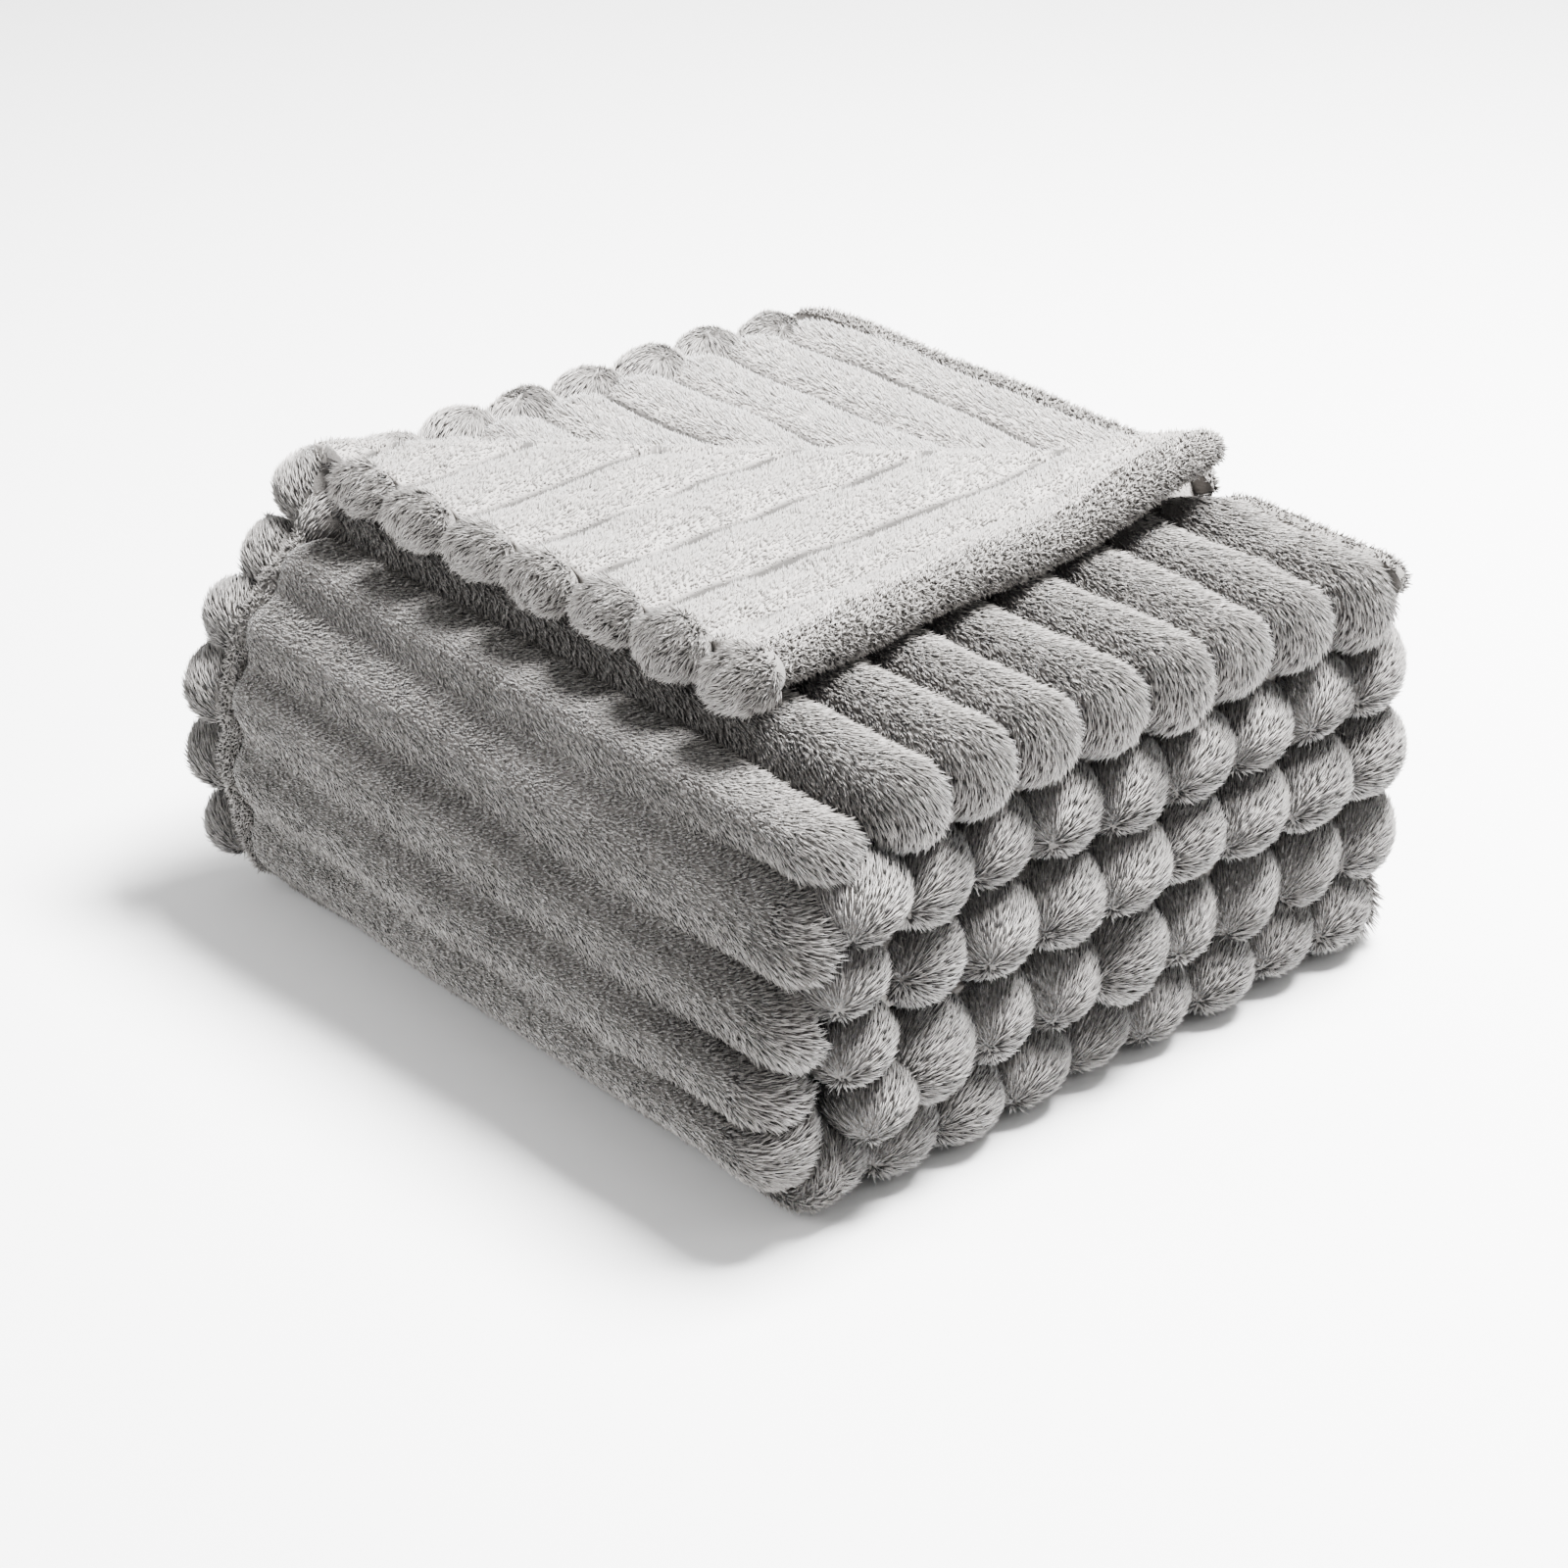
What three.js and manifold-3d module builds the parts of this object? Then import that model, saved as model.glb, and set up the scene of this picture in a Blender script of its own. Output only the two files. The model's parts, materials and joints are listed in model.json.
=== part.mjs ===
// A plush throw blanket, folded in three along its ribs and in three across them, with one corner
// of the top ply turned over. Millimetres, +Z up, X along the ribs, origin under the middle.
import * as THREE from 'three';
import { mergeVertices } from 'three/addons/utils/BufferGeometryUtils.js';
import Module from 'manifold-3d';

const wasm = await Module();
wasm.setup();

// Driving dimensions
const foldedLength = 396; // along the ribs, over the fold caps
const ribPitch = 37; // from one rib to the next
const ribCount = 8; // whole ribs between the side wrap and the long hem
const creaseFromTurn = 2; // from the near side's turn to where the crease of the turned corner starts
const rowHeight = 38; // one row of fold ends; two plies lie in a row
const shoulderRadius = 48; // outer radius of the turn round the near side
const capReach = 19; // how far fold caps and end hems stand past the plies
const longHemWidth = 12; // the rolled hem along the ribs
const backingThickness = 6; // the smooth reverse cloth with its pile
const valleyDepth = 6; // how far the stitched valleys lie below the rib crowns
const gap = 0.3; // clearance between any two pieces of cloth

// Sizes that follow
const plyThickness = rowHeight / 2;
const ribsWidth = ribPitch * ribCount;
const foldedWidth = shoulderRadius + gap + ribsWidth + gap + longHemWidth;
const xEnd = foldedLength / 2;
const xPly = xEnd - capReach - gap;
const yNear = -foldedWidth / 2;
const yFar = foldedWidth / 2;
const yRibs = yNear + shoulderRadius + gap;
const yRibsEnd = yRibs + ribsWidth;
const rowCount = 5;
const stackHeight = rowHeight * rowCount;
const hingeHeight = rowHeight * 3;

// The crease of the turned corner runs at 45 degrees from the -X end to the far long edge.
const creaseStart = new THREE.Vector3(-xEnd, yRibs + creaseFromTurn, stackHeight - gap / 2);
const cornerLeg = yFar - creaseStart.y;

// Across one rib: share of the pitch, and share of the full crown height
const visibleRib = [[0, 0], [0.1, 0.55], [0.3, 1], [0.7, 1], [0.9, 0.55]];
const hiddenRib = [[0, 0], [0.25, 1], [0.75, 1]];
// Along a rib or round a cap: share of the way, and share of the reach
const roundedEnds = [[0, 0.45], [0.04, 1], [0.96, 1], [1, 0.45]];
const roundedCap = [[0, 0.4], [0.2, 0.85], [0.5, 1], [0.8, 0.85], [1, 0.4]];

const plush = (colour) => new THREE.MeshStandardMaterial({ color: colour, roughness: 0.95, metalness: 0 });
const ribbedPlush = plush(0xa9a6a3);
const smoothPlush = plush(0xb5b2af);
const hemPlush = plush(0x9c9996);

const blanket = new THREE.Group();
const flapHinge = new THREE.Group();
const flap = new THREE.Group();
blanket.add(flapHinge);
flapHinge.add(flap);

function addPiece(name, geometry, material, parent = blanket) {
  const mesh = new THREE.Mesh(geometry, material);
  mesh.name = name;
  parent.add(mesh);
}

/** The signed volume of a closed indexed geometry, positive if its faces point out. */
function signedVolume(positions, index) {
  const corner = (i) => new THREE.Vector3().fromArray(positions, 3 * i);
  let volume = 0;
  for (let i = 0; i < index.length; i += 3) {
    volume += corner(index[i]).dot(corner(index[i + 1]).cross(corner(index[i + 2]))) / 6;
  }
  return volume;
}

/** One closed solid between two grids of points of the same size, front[i][j] and back[i][j]. */
function solidBetween(front, back) {
  const rows = front.length;
  const columns = front[0].length;
  const positions = [...front.flat(), ...back.flat()].flatMap((p) => [p.x, p.y, p.z]);
  const at = (side, i, j) => (side * rows + i) * columns + j;
  const index = [];
  const quad = (a, b, c, d) => index.push(a, b, c, a, c, d);
  for (let i = 0; i + 1 < rows; i += 1) {
    for (let j = 0; j + 1 < columns; j += 1) {
      quad(at(0, i, j), at(0, i + 1, j), at(0, i + 1, j + 1), at(0, i, j + 1));
      quad(at(1, i, j), at(1, i, j + 1), at(1, i + 1, j + 1), at(1, i + 1, j));
    }
    quad(at(0, i, 0), at(1, i, 0), at(1, i + 1, 0), at(0, i + 1, 0));
    quad(at(0, i + 1, columns - 1), at(1, i + 1, columns - 1), at(1, i, columns - 1), at(0, i, columns - 1));
  }
  for (let j = 0; j + 1 < columns; j += 1) {
    quad(at(0, 0, j + 1), at(1, 0, j + 1), at(1, 0, j), at(0, 0, j));
    quad(at(0, rows - 1, j), at(1, rows - 1, j), at(1, rows - 1, j + 1), at(0, rows - 1, j + 1));
  }
  if (signedVolume(positions, index) < 0) index.reverse();
  const geometry = new THREE.BufferGeometry();
  geometry.setAttribute('position', new THREE.Float32BufferAttribute(positions, 3));
  geometry.setIndex(index);
  return geometry;
}

/** Places and crown shares across a run of ribs that starts at start. */
function acrossRibs(start, count, pitch, profile) {
  const stations = [];
  for (let rib = 0; rib < count; rib += 1) {
    for (const [share, crown] of profile) stations.push([start + (rib + share) * pitch, crown]);
  }
  stations.push([start + count * pitch, 0]);
  return stations;
}

/** A ribbed layer from the plane zFlat to crowns at zCrown, above it or below it. */
function ribbedLayer(zFlat, zCrown, profile) {
  const height = zCrown - zFlat;
  const valley = Math.sign(height) * (Math.abs(height) - valleyDepth);
  const across = acrossRibs(yRibs, ribCount, ribPitch, profile);
  const crowns = roundedEnds.map(([share, end]) => across.map(([y, crown]) => {
    const x = THREE.MathUtils.lerp(-xPly, xPly, share);
    return new THREE.Vector3(x, y, zFlat + THREE.MathUtils.lerp(valley, height, crown * end));
  }));
  const plane = crowns.map((row) => row.map((p) => new THREE.Vector3(p.x, p.y, zFlat)));
  return solidBetween(crowns, plane);
}

function smoothLayer(zLow, zHigh) {
  const layer = new THREE.BoxGeometry(2 * xPly, ribsWidth, zHigh - zLow);
  return layer.translate(0, yRibs + ribsWidth / 2, (zLow + zHigh) / 2);
}

/** Rounded ends of all the ribs at one end of a row: a fold cap or the balls of an end hem. */
function ribEnds(side, zLow, zHigh) {
  const across = acrossRibs(yRibs, ribCount, ribPitch, hiddenRib);
  const root = side * (xEnd - capReach);
  const balls = roundedCap.map(([share, reach]) => across.map(([y, crown]) => {
    const out = capReach * reach * THREE.MathUtils.lerp(0.6, 1, crown);
    return new THREE.Vector3(root + side * out, y, THREE.MathUtils.lerp(zLow, zHigh, share));
  }));
  const wall = balls.map((row) => row.map((p) => new THREE.Vector3(root, p.y, p.z)));
  return solidBetween(balls, wall);
}

/** A rolled hem along the far long edge. */
function longHem(zLow, zHigh) {
  const stations = [[-xEnd, 0.7], [-xPly, 1], [xPly, 1], [xEnd, 0.7]];
  const roll = stations.map(([x, end]) => roundedCap.map(([share, reach]) => {
    const y = yRibsEnd + gap + longHemWidth * reach * end;
    return new THREE.Vector3(x, y, THREE.MathUtils.lerp(zLow, zHigh, share));
  }));
  const wall = roll.map((row) => row.map((p) => new THREE.Vector3(p.x, yRibsEnd + gap, p.z)));
  return solidBetween(roll, wall);
}

function toSolid(geometry) {
  const bare = geometry.clone();
  bare.deleteAttribute('normal');
  bare.deleteAttribute('uv');
  const merged = mergeVertices(bare);
  const vertProperties = new Float32Array(merged.attributes.position.array);
  const triVerts = new Uint32Array(merged.index.array);
  return new wasm.Manifold(new wasm.Mesh({ numProp: 3, vertProperties, triVerts }));
}

function toGeometry(solid) {
  const mesh = solid.getMesh();
  const geometry = new THREE.BufferGeometry();
  geometry.setAttribute('position', new THREE.BufferAttribute(new Float32Array(mesh.vertProperties), 3));
  geometry.setIndex(new THREE.BufferAttribute(new Uint32Array(mesh.triVerts), 1));
  return geometry;
}

/** The triangular prism of the turned corner, as it lies before it is turned, moved off the crease. */
function cornerPrism(offCrease) {
  const beyond = foldedLength;
  const shift = offCrease * Math.SQRT2;
  const outline = new THREE.Shape([
    new THREE.Vector2(creaseStart.x - beyond, creaseStart.y - beyond + shift),
    new THREE.Vector2(creaseStart.x + cornerLeg + beyond, creaseStart.y + cornerLeg + beyond + shift),
    new THREE.Vector2(creaseStart.x - beyond, creaseStart.y + cornerLeg + beyond + shift),
  ]);
  return toSolid(new THREE.ExtrudeGeometry(outline, { depth: 2 * stackHeight, bevelEnabled: false }));
}

/** Adds a whole piece of the top ply as two: what stays flat, and what turns over with the corner. */
function addTurnedPiece(flatName, flapName, geometry, material) {
  const whole = toSolid(geometry);
  addPiece(flatName, toGeometry(whole.subtract(cornerPrism(-gap / 2))), material);
  addPiece(flapName, toGeometry(whole.intersect(cornerPrism(gap / 2))), material, flap);
}

/** One layer of the big turn round the near side: pairs of outer and inner points, swept along X. */
function wrapLayer(pairs) {
  const stations = [[-xEnd, 0.55], [-xPly, 1], [xPly, 1], [xEnd, 0.55]];
  const sweep = (side) => stations.map(([x, end]) => pairs.map(([outer, inner]) => {
    const p = side === 'outer' ? inner.clone().lerp(outer, end) : inner;
    return new THREE.Vector3(x, p.x, p.y);
  }));
  return solidBetween(sweep('outer'), sweep('inner'));
}

/** Outer and inner points of a wrap layer between two depths, up or down from the hinge height. */
function wrapPairs(depthOut, depthIn, isUpper, valley) {
  const direction = isUpper ? 1 : -1;
  const bend = isUpper ? stackHeight - shoulderRadius : shoulderRadius;
  const straight = Math.abs(bend - hingeHeight);
  const ribs = Math.max(1, Math.round(straight / rowHeight));
  const pairs = [];
  for (const [z, crown] of acrossRibs(0, ribs, straight / ribs, hiddenRib)) {
    const inset = depthOut + valley * (1 - crown);
    const height = hingeHeight + direction * Math.max(z, gap / 2);
    pairs.push([new THREE.Vector2(yNear + inset, height), new THREE.Vector2(yNear + depthIn, height)]);
  }
  pairs.pop();
  const turn = [[0, 0], [0.12, 1], [0.38, 1], [0.5, 0], [0.62, 1], [0.88, 1], [1, 1]];
  for (const [share, crown] of turn) {
    const angle = share * Math.PI / 2;
    const spoke = new THREE.Vector2(-Math.cos(angle), direction * Math.sin(angle));
    const centre = new THREE.Vector2(yNear + shoulderRadius, bend);
    const outerRadius = shoulderRadius - depthOut - valley * (1 - crown);
    const outer = centre.clone().addScaledVector(spoke, outerRadius);
    pairs.push([outer, centre.clone().addScaledVector(spoke, shoulderRadius - depthIn)]);
  }
  return pairs;
}

/** The two cloths of one ply, which lies from zLow to zHigh with its ribs up or down. */
function plyLayers(zLow, zHigh, ribsUp, profile) {
  const top = zHigh - gap;
  if (ribsUp) {
    return {
      face: ribbedLayer(zLow + backingThickness + gap, top, profile),
      backing: smoothLayer(zLow, zLow + backingThickness),
    };
  }
  return {
    face: ribbedLayer(top - backingThickness - gap, zLow, profile),
    backing: smoothLayer(top - backingThickness, top),
  };
}

// Plies from the floor up: fold group, ply of the group, height in plies, which way the ribs face
const plies = [
  ['bottom', 'outer', 1, false], ['bottom', 'second', 1, true], ['bottom', 'third', 1, false],
  ['middle', 'third', 1, true], ['middle', 'second', 1, false], ['middle', 'outer', 1, true],
  ['top', 'third', 2, true], ['top', 'second', 1, false], ['top', 'outer', 1, true],
];

function buildPlies() {
  let z = 0;
  for (const [group, ply, height, ribsUp] of plies) {
    const zTop = z + height * plyThickness;
    const isOutside = ply === 'outer' && group !== 'middle';
    const layers = plyLayers(z, zTop, ribsUp, isOutside ? visibleRib : hiddenRib);
    const name = `${group}_${ply}_ply`;
    if (group === 'top' && ply === 'outer') {
      addTurnedPiece(`${name}_face`, 'corner_flap_face', layers.face, ribbedPlush);
      addTurnedPiece(`${name}_backing`, 'corner_flap_backing', layers.backing, smoothPlush);
    } else {
      addPiece(`${name}_face`, layers.face, ribbedPlush);
      addPiece(`${name}_backing`, layers.backing, smoothPlush);
    }
    z = zTop;
  }
}

// Ends of the rows: name, which end, and the lowest and highest ply border in plies
const ends = [
  ['bottom_fold_cap', 1, 0, 2], ['bottom_inner_end_hem', 1, 2, 3], ['middle_inner_end_hem', 1, 3, 4],
  ['middle_fold_cap', 1, 4, 6], ['top_inner_end_hem', 1, 6, 8], ['top_fold_cap', 1, 8, 10],
  ['bottom_outer_end_hem', -1, 0, 1], ['bottom_inner_fold', -1, 1, 3], ['middle_inner_fold', -1, 3, 5],
  ['middle_outer_end_hem', -1, 5, 6], ['top_inner_fold', -1, 6, 9],
];

function buildEnds() {
  for (const [name, side, low, high] of ends) {
    addPiece(name, ribEnds(side, low * plyThickness, high * plyThickness - gap), ribbedPlush);
  }
  const topHem = ribEnds(-1, stackHeight - plyThickness, stackHeight - gap);
  addTurnedPiece('top_outer_end_hem', 'corner_flap_end_hem', topHem, hemPlush);
}

function buildSideWraps() {
  const faceDepth = plyThickness - backingThickness - gap;
  const innerDepth = shoulderRadius - backingThickness - gap;
  for (const [half, isUpper] of [['lower', false], ['upper', true]]) {
    const face = wrapPairs(0, faceDepth - gap, isUpper, valleyDepth);
    const backing = wrapPairs(faceDepth, plyThickness - gap, isUpper, 0);
    const inner = wrapPairs(plyThickness, innerDepth, isUpper, valleyDepth);
    addPiece(`side_wrap_${half}_face`, wrapLayer(face), ribbedPlush);
    addPiece(`side_wrap_${half}_backing`, wrapLayer(backing), smoothPlush);
    addPiece(`inner_wrap_${half}`, wrapLayer(inner), ribbedPlush);
  }
  const hem = new THREE.BoxGeometry(2 * xPly, yRibs - gap - (yNear + innerDepth + gap), rowHeight - 2 * gap);
  hem.translate(0, (yRibs + yNear + innerDepth) / 2, hingeHeight - rowHeight / 2);
  addPiece('middle_long_hem', hem, hemPlush);
}

/** The far side: the turn between the bottom and middle folds, and the free long hems above it. */
function buildFarSide() {
  for (let row = 0; row < 3; row += 1) {
    const name = `far_wrap_rib_${row + 1}`;
    addPiece(name, longHem(row * rowHeight, (row + 1) * rowHeight - gap), ribbedPlush);
  }
  addPiece('top_third_long_hem', longHem(hingeHeight, hingeHeight + rowHeight - gap), hemPlush);
  const zSecond = hingeHeight + rowHeight;
  addPiece('top_second_long_hem', longHem(zSecond, zSecond + plyThickness - gap), hemPlush);
  const zOuter = zSecond + plyThickness;
  const outerHem = longHem(zOuter, zOuter + plyThickness - gap);
  addTurnedPiece('top_outer_long_hem', 'corner_flap_long_hem', outerHem, hemPlush);
}

/** Turns the corner over: half a turn about the crease. */
function turnCorner() {
  const creaseDirection = new THREE.Vector3(1, 1, 0).normalize();
  flapHinge.position.copy(creaseStart);
  flapHinge.quaternion.setFromAxisAngle(creaseDirection, Math.PI);
  flap.position.copy(creaseStart).negate();
}

buildPlies();
buildEnds();
buildSideWraps();
buildFarSide();
turnCorner();

export default blanket;
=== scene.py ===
"""A folded plush throw blanket: soft ribbed cloth with a real pile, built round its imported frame."""
import json
import math

import bpy
import numpy as np
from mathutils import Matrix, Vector


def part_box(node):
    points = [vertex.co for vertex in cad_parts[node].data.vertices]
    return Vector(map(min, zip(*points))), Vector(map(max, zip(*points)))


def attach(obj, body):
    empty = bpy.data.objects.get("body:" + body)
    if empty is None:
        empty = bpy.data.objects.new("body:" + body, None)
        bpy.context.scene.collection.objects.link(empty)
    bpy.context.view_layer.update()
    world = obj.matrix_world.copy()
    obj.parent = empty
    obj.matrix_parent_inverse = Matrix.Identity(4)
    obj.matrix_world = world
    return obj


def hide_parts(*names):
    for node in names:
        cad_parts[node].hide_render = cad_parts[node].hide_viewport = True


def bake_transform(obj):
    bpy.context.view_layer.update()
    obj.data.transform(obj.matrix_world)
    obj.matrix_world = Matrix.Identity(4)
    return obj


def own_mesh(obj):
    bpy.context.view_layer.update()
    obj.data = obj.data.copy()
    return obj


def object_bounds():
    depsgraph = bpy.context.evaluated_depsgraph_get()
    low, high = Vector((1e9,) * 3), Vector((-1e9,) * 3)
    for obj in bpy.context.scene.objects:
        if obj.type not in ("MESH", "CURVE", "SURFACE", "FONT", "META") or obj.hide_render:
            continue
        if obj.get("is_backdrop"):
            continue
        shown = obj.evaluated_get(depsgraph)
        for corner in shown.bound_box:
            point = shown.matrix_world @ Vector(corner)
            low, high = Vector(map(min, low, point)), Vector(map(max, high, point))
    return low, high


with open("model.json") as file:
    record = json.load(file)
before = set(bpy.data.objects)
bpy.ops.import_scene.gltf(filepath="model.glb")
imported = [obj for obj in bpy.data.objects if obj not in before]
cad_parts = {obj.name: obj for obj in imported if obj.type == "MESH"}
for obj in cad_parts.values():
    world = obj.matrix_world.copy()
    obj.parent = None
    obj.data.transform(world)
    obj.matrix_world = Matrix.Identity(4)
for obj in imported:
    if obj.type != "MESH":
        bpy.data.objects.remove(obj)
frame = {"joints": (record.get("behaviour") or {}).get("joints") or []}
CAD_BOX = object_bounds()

bl_info = {
    "name": "Folded Throw Blanket",
    "version": (1, 0, 0),
    "blender": (4, 5, 0),
    "location": "View3D > Sidebar > Throw",
    "description": "Builds a folded plush throw blanket with ribs, fold ends, hems and pile",
    "category": "Object",
}

# ---------------------------------------------------------------- sizes read from the frame, in mm

MM = 0.001
RIBS = 8
ROWS = 5


def cad(node):
    """The lowest and highest corners of a node of the frame, in mm."""
    low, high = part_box(node)
    return np.array(low) / MM, np.array(high) / MM


def joint_place(name):
    joint = next(j for j in frame["joints"] if j["name"] == name)
    return np.array(joint["pos_m"]) / MM


Y_RIBS, Y_RIBS_END = cad("top_outer_ply_face")[0][1], cad("top_outer_ply_face")[1][1]
X_PLY = cad("top_outer_ply_face")[1][0]
X_END = cad("top_fold_cap")[1][0]
TOP = cad("top_fold_cap")[1][2]
Y_NEAR = cad("side_wrap_lower_face")[0][1]
Y_FAR = cad("far_wrap_rib_1")[1][1]
PITCH = (Y_RIBS_END - Y_RIBS) / RIBS
ROW = TOP / ROWS
PLY = ROW / 2
HINGE = joint_place("top_fold_open")[2]
CREASE = joint_place("corner_turn")
CORNER_X = CREASE[0] + Y_FAR - CREASE[1]
CAP = ROW / 2
RIB_LENGTH = 2 * X_END + CAP  # along a rib and half way round its end
RIB_STEPS = 14  # how finely a rib that shows is drawn


# ---------------------------------------------------------------- shapes as grids of points, in mm

def smooth(share):
    share = np.clip(share, 0.0, 1.0)
    return share * share * (3.0 - 2.0 * share)


def together(*parts):
    """Points or directions from their coordinates."""
    return np.stack(np.broadcast_arrays(*parts), axis=-1)


def waves(points, length, seed, count=6):
    """A soft, seeded unevenness from -1 to 1 with waves of about that length."""
    draw = np.random.default_rng(seed)
    total = np.zeros(points.shape[:-1])
    for _ in range(count):
        direction = draw.normal(size=3)
        direction *= 2 * math.pi / (length * draw.uniform(0.7, 1.4) * np.linalg.norm(direction))
        total += np.sin(points @ direction + draw.uniform(0, 2 * math.pi))
    return total / math.sqrt(count * 2.0)


def roundness(across, sharp=0.94):
    """The height of a puffed rib, from 0 in its valleys to 1 on its crown, across from -1 to 1."""
    floor = math.sqrt(1.0 - sharp * sharp)
    return (np.sqrt(1.0 - (sharp * across) ** 2) - floor) / (1.0 - floor)


def rib_samples(first, last, per_rib):
    """Places across ribs, closer together near the valleys."""
    angles = np.linspace(-math.pi / 2, math.pi / 2, per_rib + 1)[:-1]
    inside = (np.sin(angles) + 1.0) / 2.0
    ribs = np.arange(first, last)
    return np.append((ribs[:, None] + inside[None, :]).ravel(), float(last))


def across_of(t):
    """Where a place lies on its own rib, from -1 to 1."""
    share = t - np.floor(t)
    return np.where(np.isclose(share, 0.0), -1.0, 2.0 * share - 1.0)


def uneven(t, seed, spread):
    """A seeded value for each rib, blended over the valleys."""
    draw = np.random.default_rng(seed)
    low = int(np.floor(t.min())) - 1
    values = draw.uniform(-spread, spread, int(np.ceil(t.max())) - low + 3)
    place = t - 0.5 - low
    index = np.floor(place).astype(int)
    return values[index] + (values[index + 1] - values[index]) * smooth(place - index)


def spline(knots, values, at):
    """A smooth curve through values at knots, with the slopes of its neighbours."""
    knots = np.asarray(knots, float)
    values = np.asarray(values, float)
    slopes = np.gradient(values, knots, axis=0)
    i = np.clip(np.searchsorted(knots, at, side="right") - 1, 0, len(knots) - 2)
    span = knots[i + 1] - knots[i]
    u = ((at - knots[i]) / span)[..., None]
    h00 = 2 * u**3 - 3 * u**2 + 1
    h10 = u**3 - 2 * u**2 + u
    h01 = -2 * u**3 + 3 * u**2
    h11 = u**3 - u**2
    span = span[..., None]
    return h00 * values[i] + h10 * span * slopes[i] + h01 * values[i + 1] + h11 * span * slopes[i + 1]


def grid_normals(points):
    """Unit normals of a grid of points, along the first axis crossed with the second."""
    du = np.gradient(points, axis=0)
    dv = np.gradient(points, axis=1)
    normals = np.cross(du, dv)
    size = np.linalg.norm(normals, axis=2, keepdims=True)
    return normals / np.maximum(size, 1e-9)


def quads(a, b, c, d):
    """Four-sided faces from four grids of point numbers."""
    return np.stack([a.ravel(), b.ravel(), c.ravel(), d.ravel()], axis=1)


def closed_mesh(name, outer, inner, pile, nap, comb, material, seam=0.0):
    """One closed body between two grids, with what the pile needs kept on its points."""
    rows, columns = outer.shape[:2]
    points = np.concatenate([outer.reshape(-1, 3), inner.reshape(-1, 3)]) * MM
    at = np.arange(rows * columns).reshape(rows, columns)
    back = at + rows * columns

    faces = np.concatenate([
        quads(at[:-1, :-1], at[1:, :-1], at[1:, 1:], at[:-1, 1:]),
        quads(back[:-1, :-1], back[:-1, 1:], back[1:, 1:], back[1:, :-1]),
        quads(at[:-1, 0], back[:-1, 0], back[1:, 0], at[1:, 0]),
        quads(at[1:, -1], back[1:, -1], back[:-1, -1], at[:-1, -1]),
        quads(at[0, 1:], back[0, 1:], back[0, :-1], at[0, :-1]),
        quads(at[-1, :-1], back[-1, :-1], back[-1, 1:], at[-1, 1:]),
    ])
    a, b, c, d = (points[faces[:, i]] for i in range(4))
    volume = (a * np.cross(b, c)).sum() + (a * np.cross(c, d)).sum()
    if volume < 0:
        faces = faces[:, ::-1]
    bare = np.zeros(rows * columns)
    pile, nap, seam = (np.concatenate([np.broadcast_to(value, (rows, columns)).ravel(), bare])
                       for value in (pile, nap, seam))
    lay = np.concatenate([np.broadcast_to(comb, outer.shape).reshape(-1, 3), np.zeros((rows * columns, 3))])
    return mesh_piece(name, points / MM, faces, pile, nap, lay, material, seam)


def mesh_piece(name, points, faces, pile, nap, comb, material, seam=0.0):
    """A piece from points in mm and four-sided faces, with what its pile needs kept on its points."""
    mesh = bpy.data.meshes.new(name)
    mesh.from_pydata((points * MM).tolist(), [], faces.tolist())
    mesh.shade_smooth()
    write_values(mesh, "pile", np.broadcast_to(pile, len(points)))
    write_values(mesh, "nap", np.broadcast_to(nap, len(points)))
    write_values(mesh, "seam", np.broadcast_to(seam, len(points)))
    attribute = mesh.attributes.new("comb", "FLOAT_VECTOR", "POINT")
    attribute.data.foreach_set("vector", comb.astype(np.float32).ravel())
    mesh.materials.append(material)
    piece = bpy.data.objects.new(name, mesh)
    bpy.context.scene.collection.objects.link(piece)
    return piece


def write_values(mesh, name, values):
    attribute = mesh.attributes.new(name, "FLOAT", "POINT")
    attribute.data.foreach_set("value", values.astype(np.float32))


def cloth_shell(name, outer, thickness, outward, pile, nap, comb, material):
    """A cloth of that thickness behind a grid of outer points; outward is a rough way out at each."""
    normals = grid_normals(outer)
    facing = np.sign((normals * outward).sum(axis=2, keepdims=True))
    facing[facing == 0] = 1.0
    inner = outer - normals * facing * thickness
    return closed_mesh(name, outer, inner, pile, nap, comb, material)


# ---------------------------------------------------------------- materials

def new_material(name):
    material = bpy.data.materials.new(name)
    material.use_nodes = True
    nodes = material.node_tree.nodes
    nodes.clear()
    output = nodes.new("ShaderNodeOutputMaterial")
    shader = nodes.new("ShaderNodeBsdfPrincipled")
    material.node_tree.links.new(shader.outputs["BSDF"], output.inputs["Surface"])
    shader.inputs["Metallic"].default_value = 0.0
    shader.inputs["Roughness"].default_value = 0.85
    shader.inputs["Specular IOR Level"].default_value = 0.2
    return material, shader


def noise(tree, scale, detail):
    node = tree.nodes.new("ShaderNodeTexNoise")
    node.inputs["Scale"].default_value = scale
    node.inputs["Detail"].default_value = detail
    node.inputs["Roughness"].default_value = 0.55
    tree.links.new(tree.nodes.new("ShaderNodeTexCoord").outputs["Object"], node.inputs["Vector"])
    return node


def ramp(tree, factor, stops):
    node = tree.nodes.new("ShaderNodeValToRGB")
    for element, (place, colour) in zip(node.color_ramp.elements, stops):
        element.position = place
        element.color = colour
    tree.links.new(factor, node.inputs["Fac"])
    return node


def shade(colour, by):
    return (*(min(1.0, channel * by) for channel in colour), 1.0)


def maths(tree, operation, first, second):
    node = tree.nodes.new("ShaderNodeMath")
    node.operation = operation
    for socket, value in zip(node.inputs, (first, second)):
        if isinstance(value, (int, float)):
            socket.default_value = value
        else:
            tree.links.new(value, socket)
    return node.outputs[0]


def scaled(tree, value, by, plus):
    """A value times one number, plus another."""
    result = maths(tree, "MULTIPLY_ADD", value, by)
    result.node.inputs[2].default_value = plus
    return result


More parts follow.
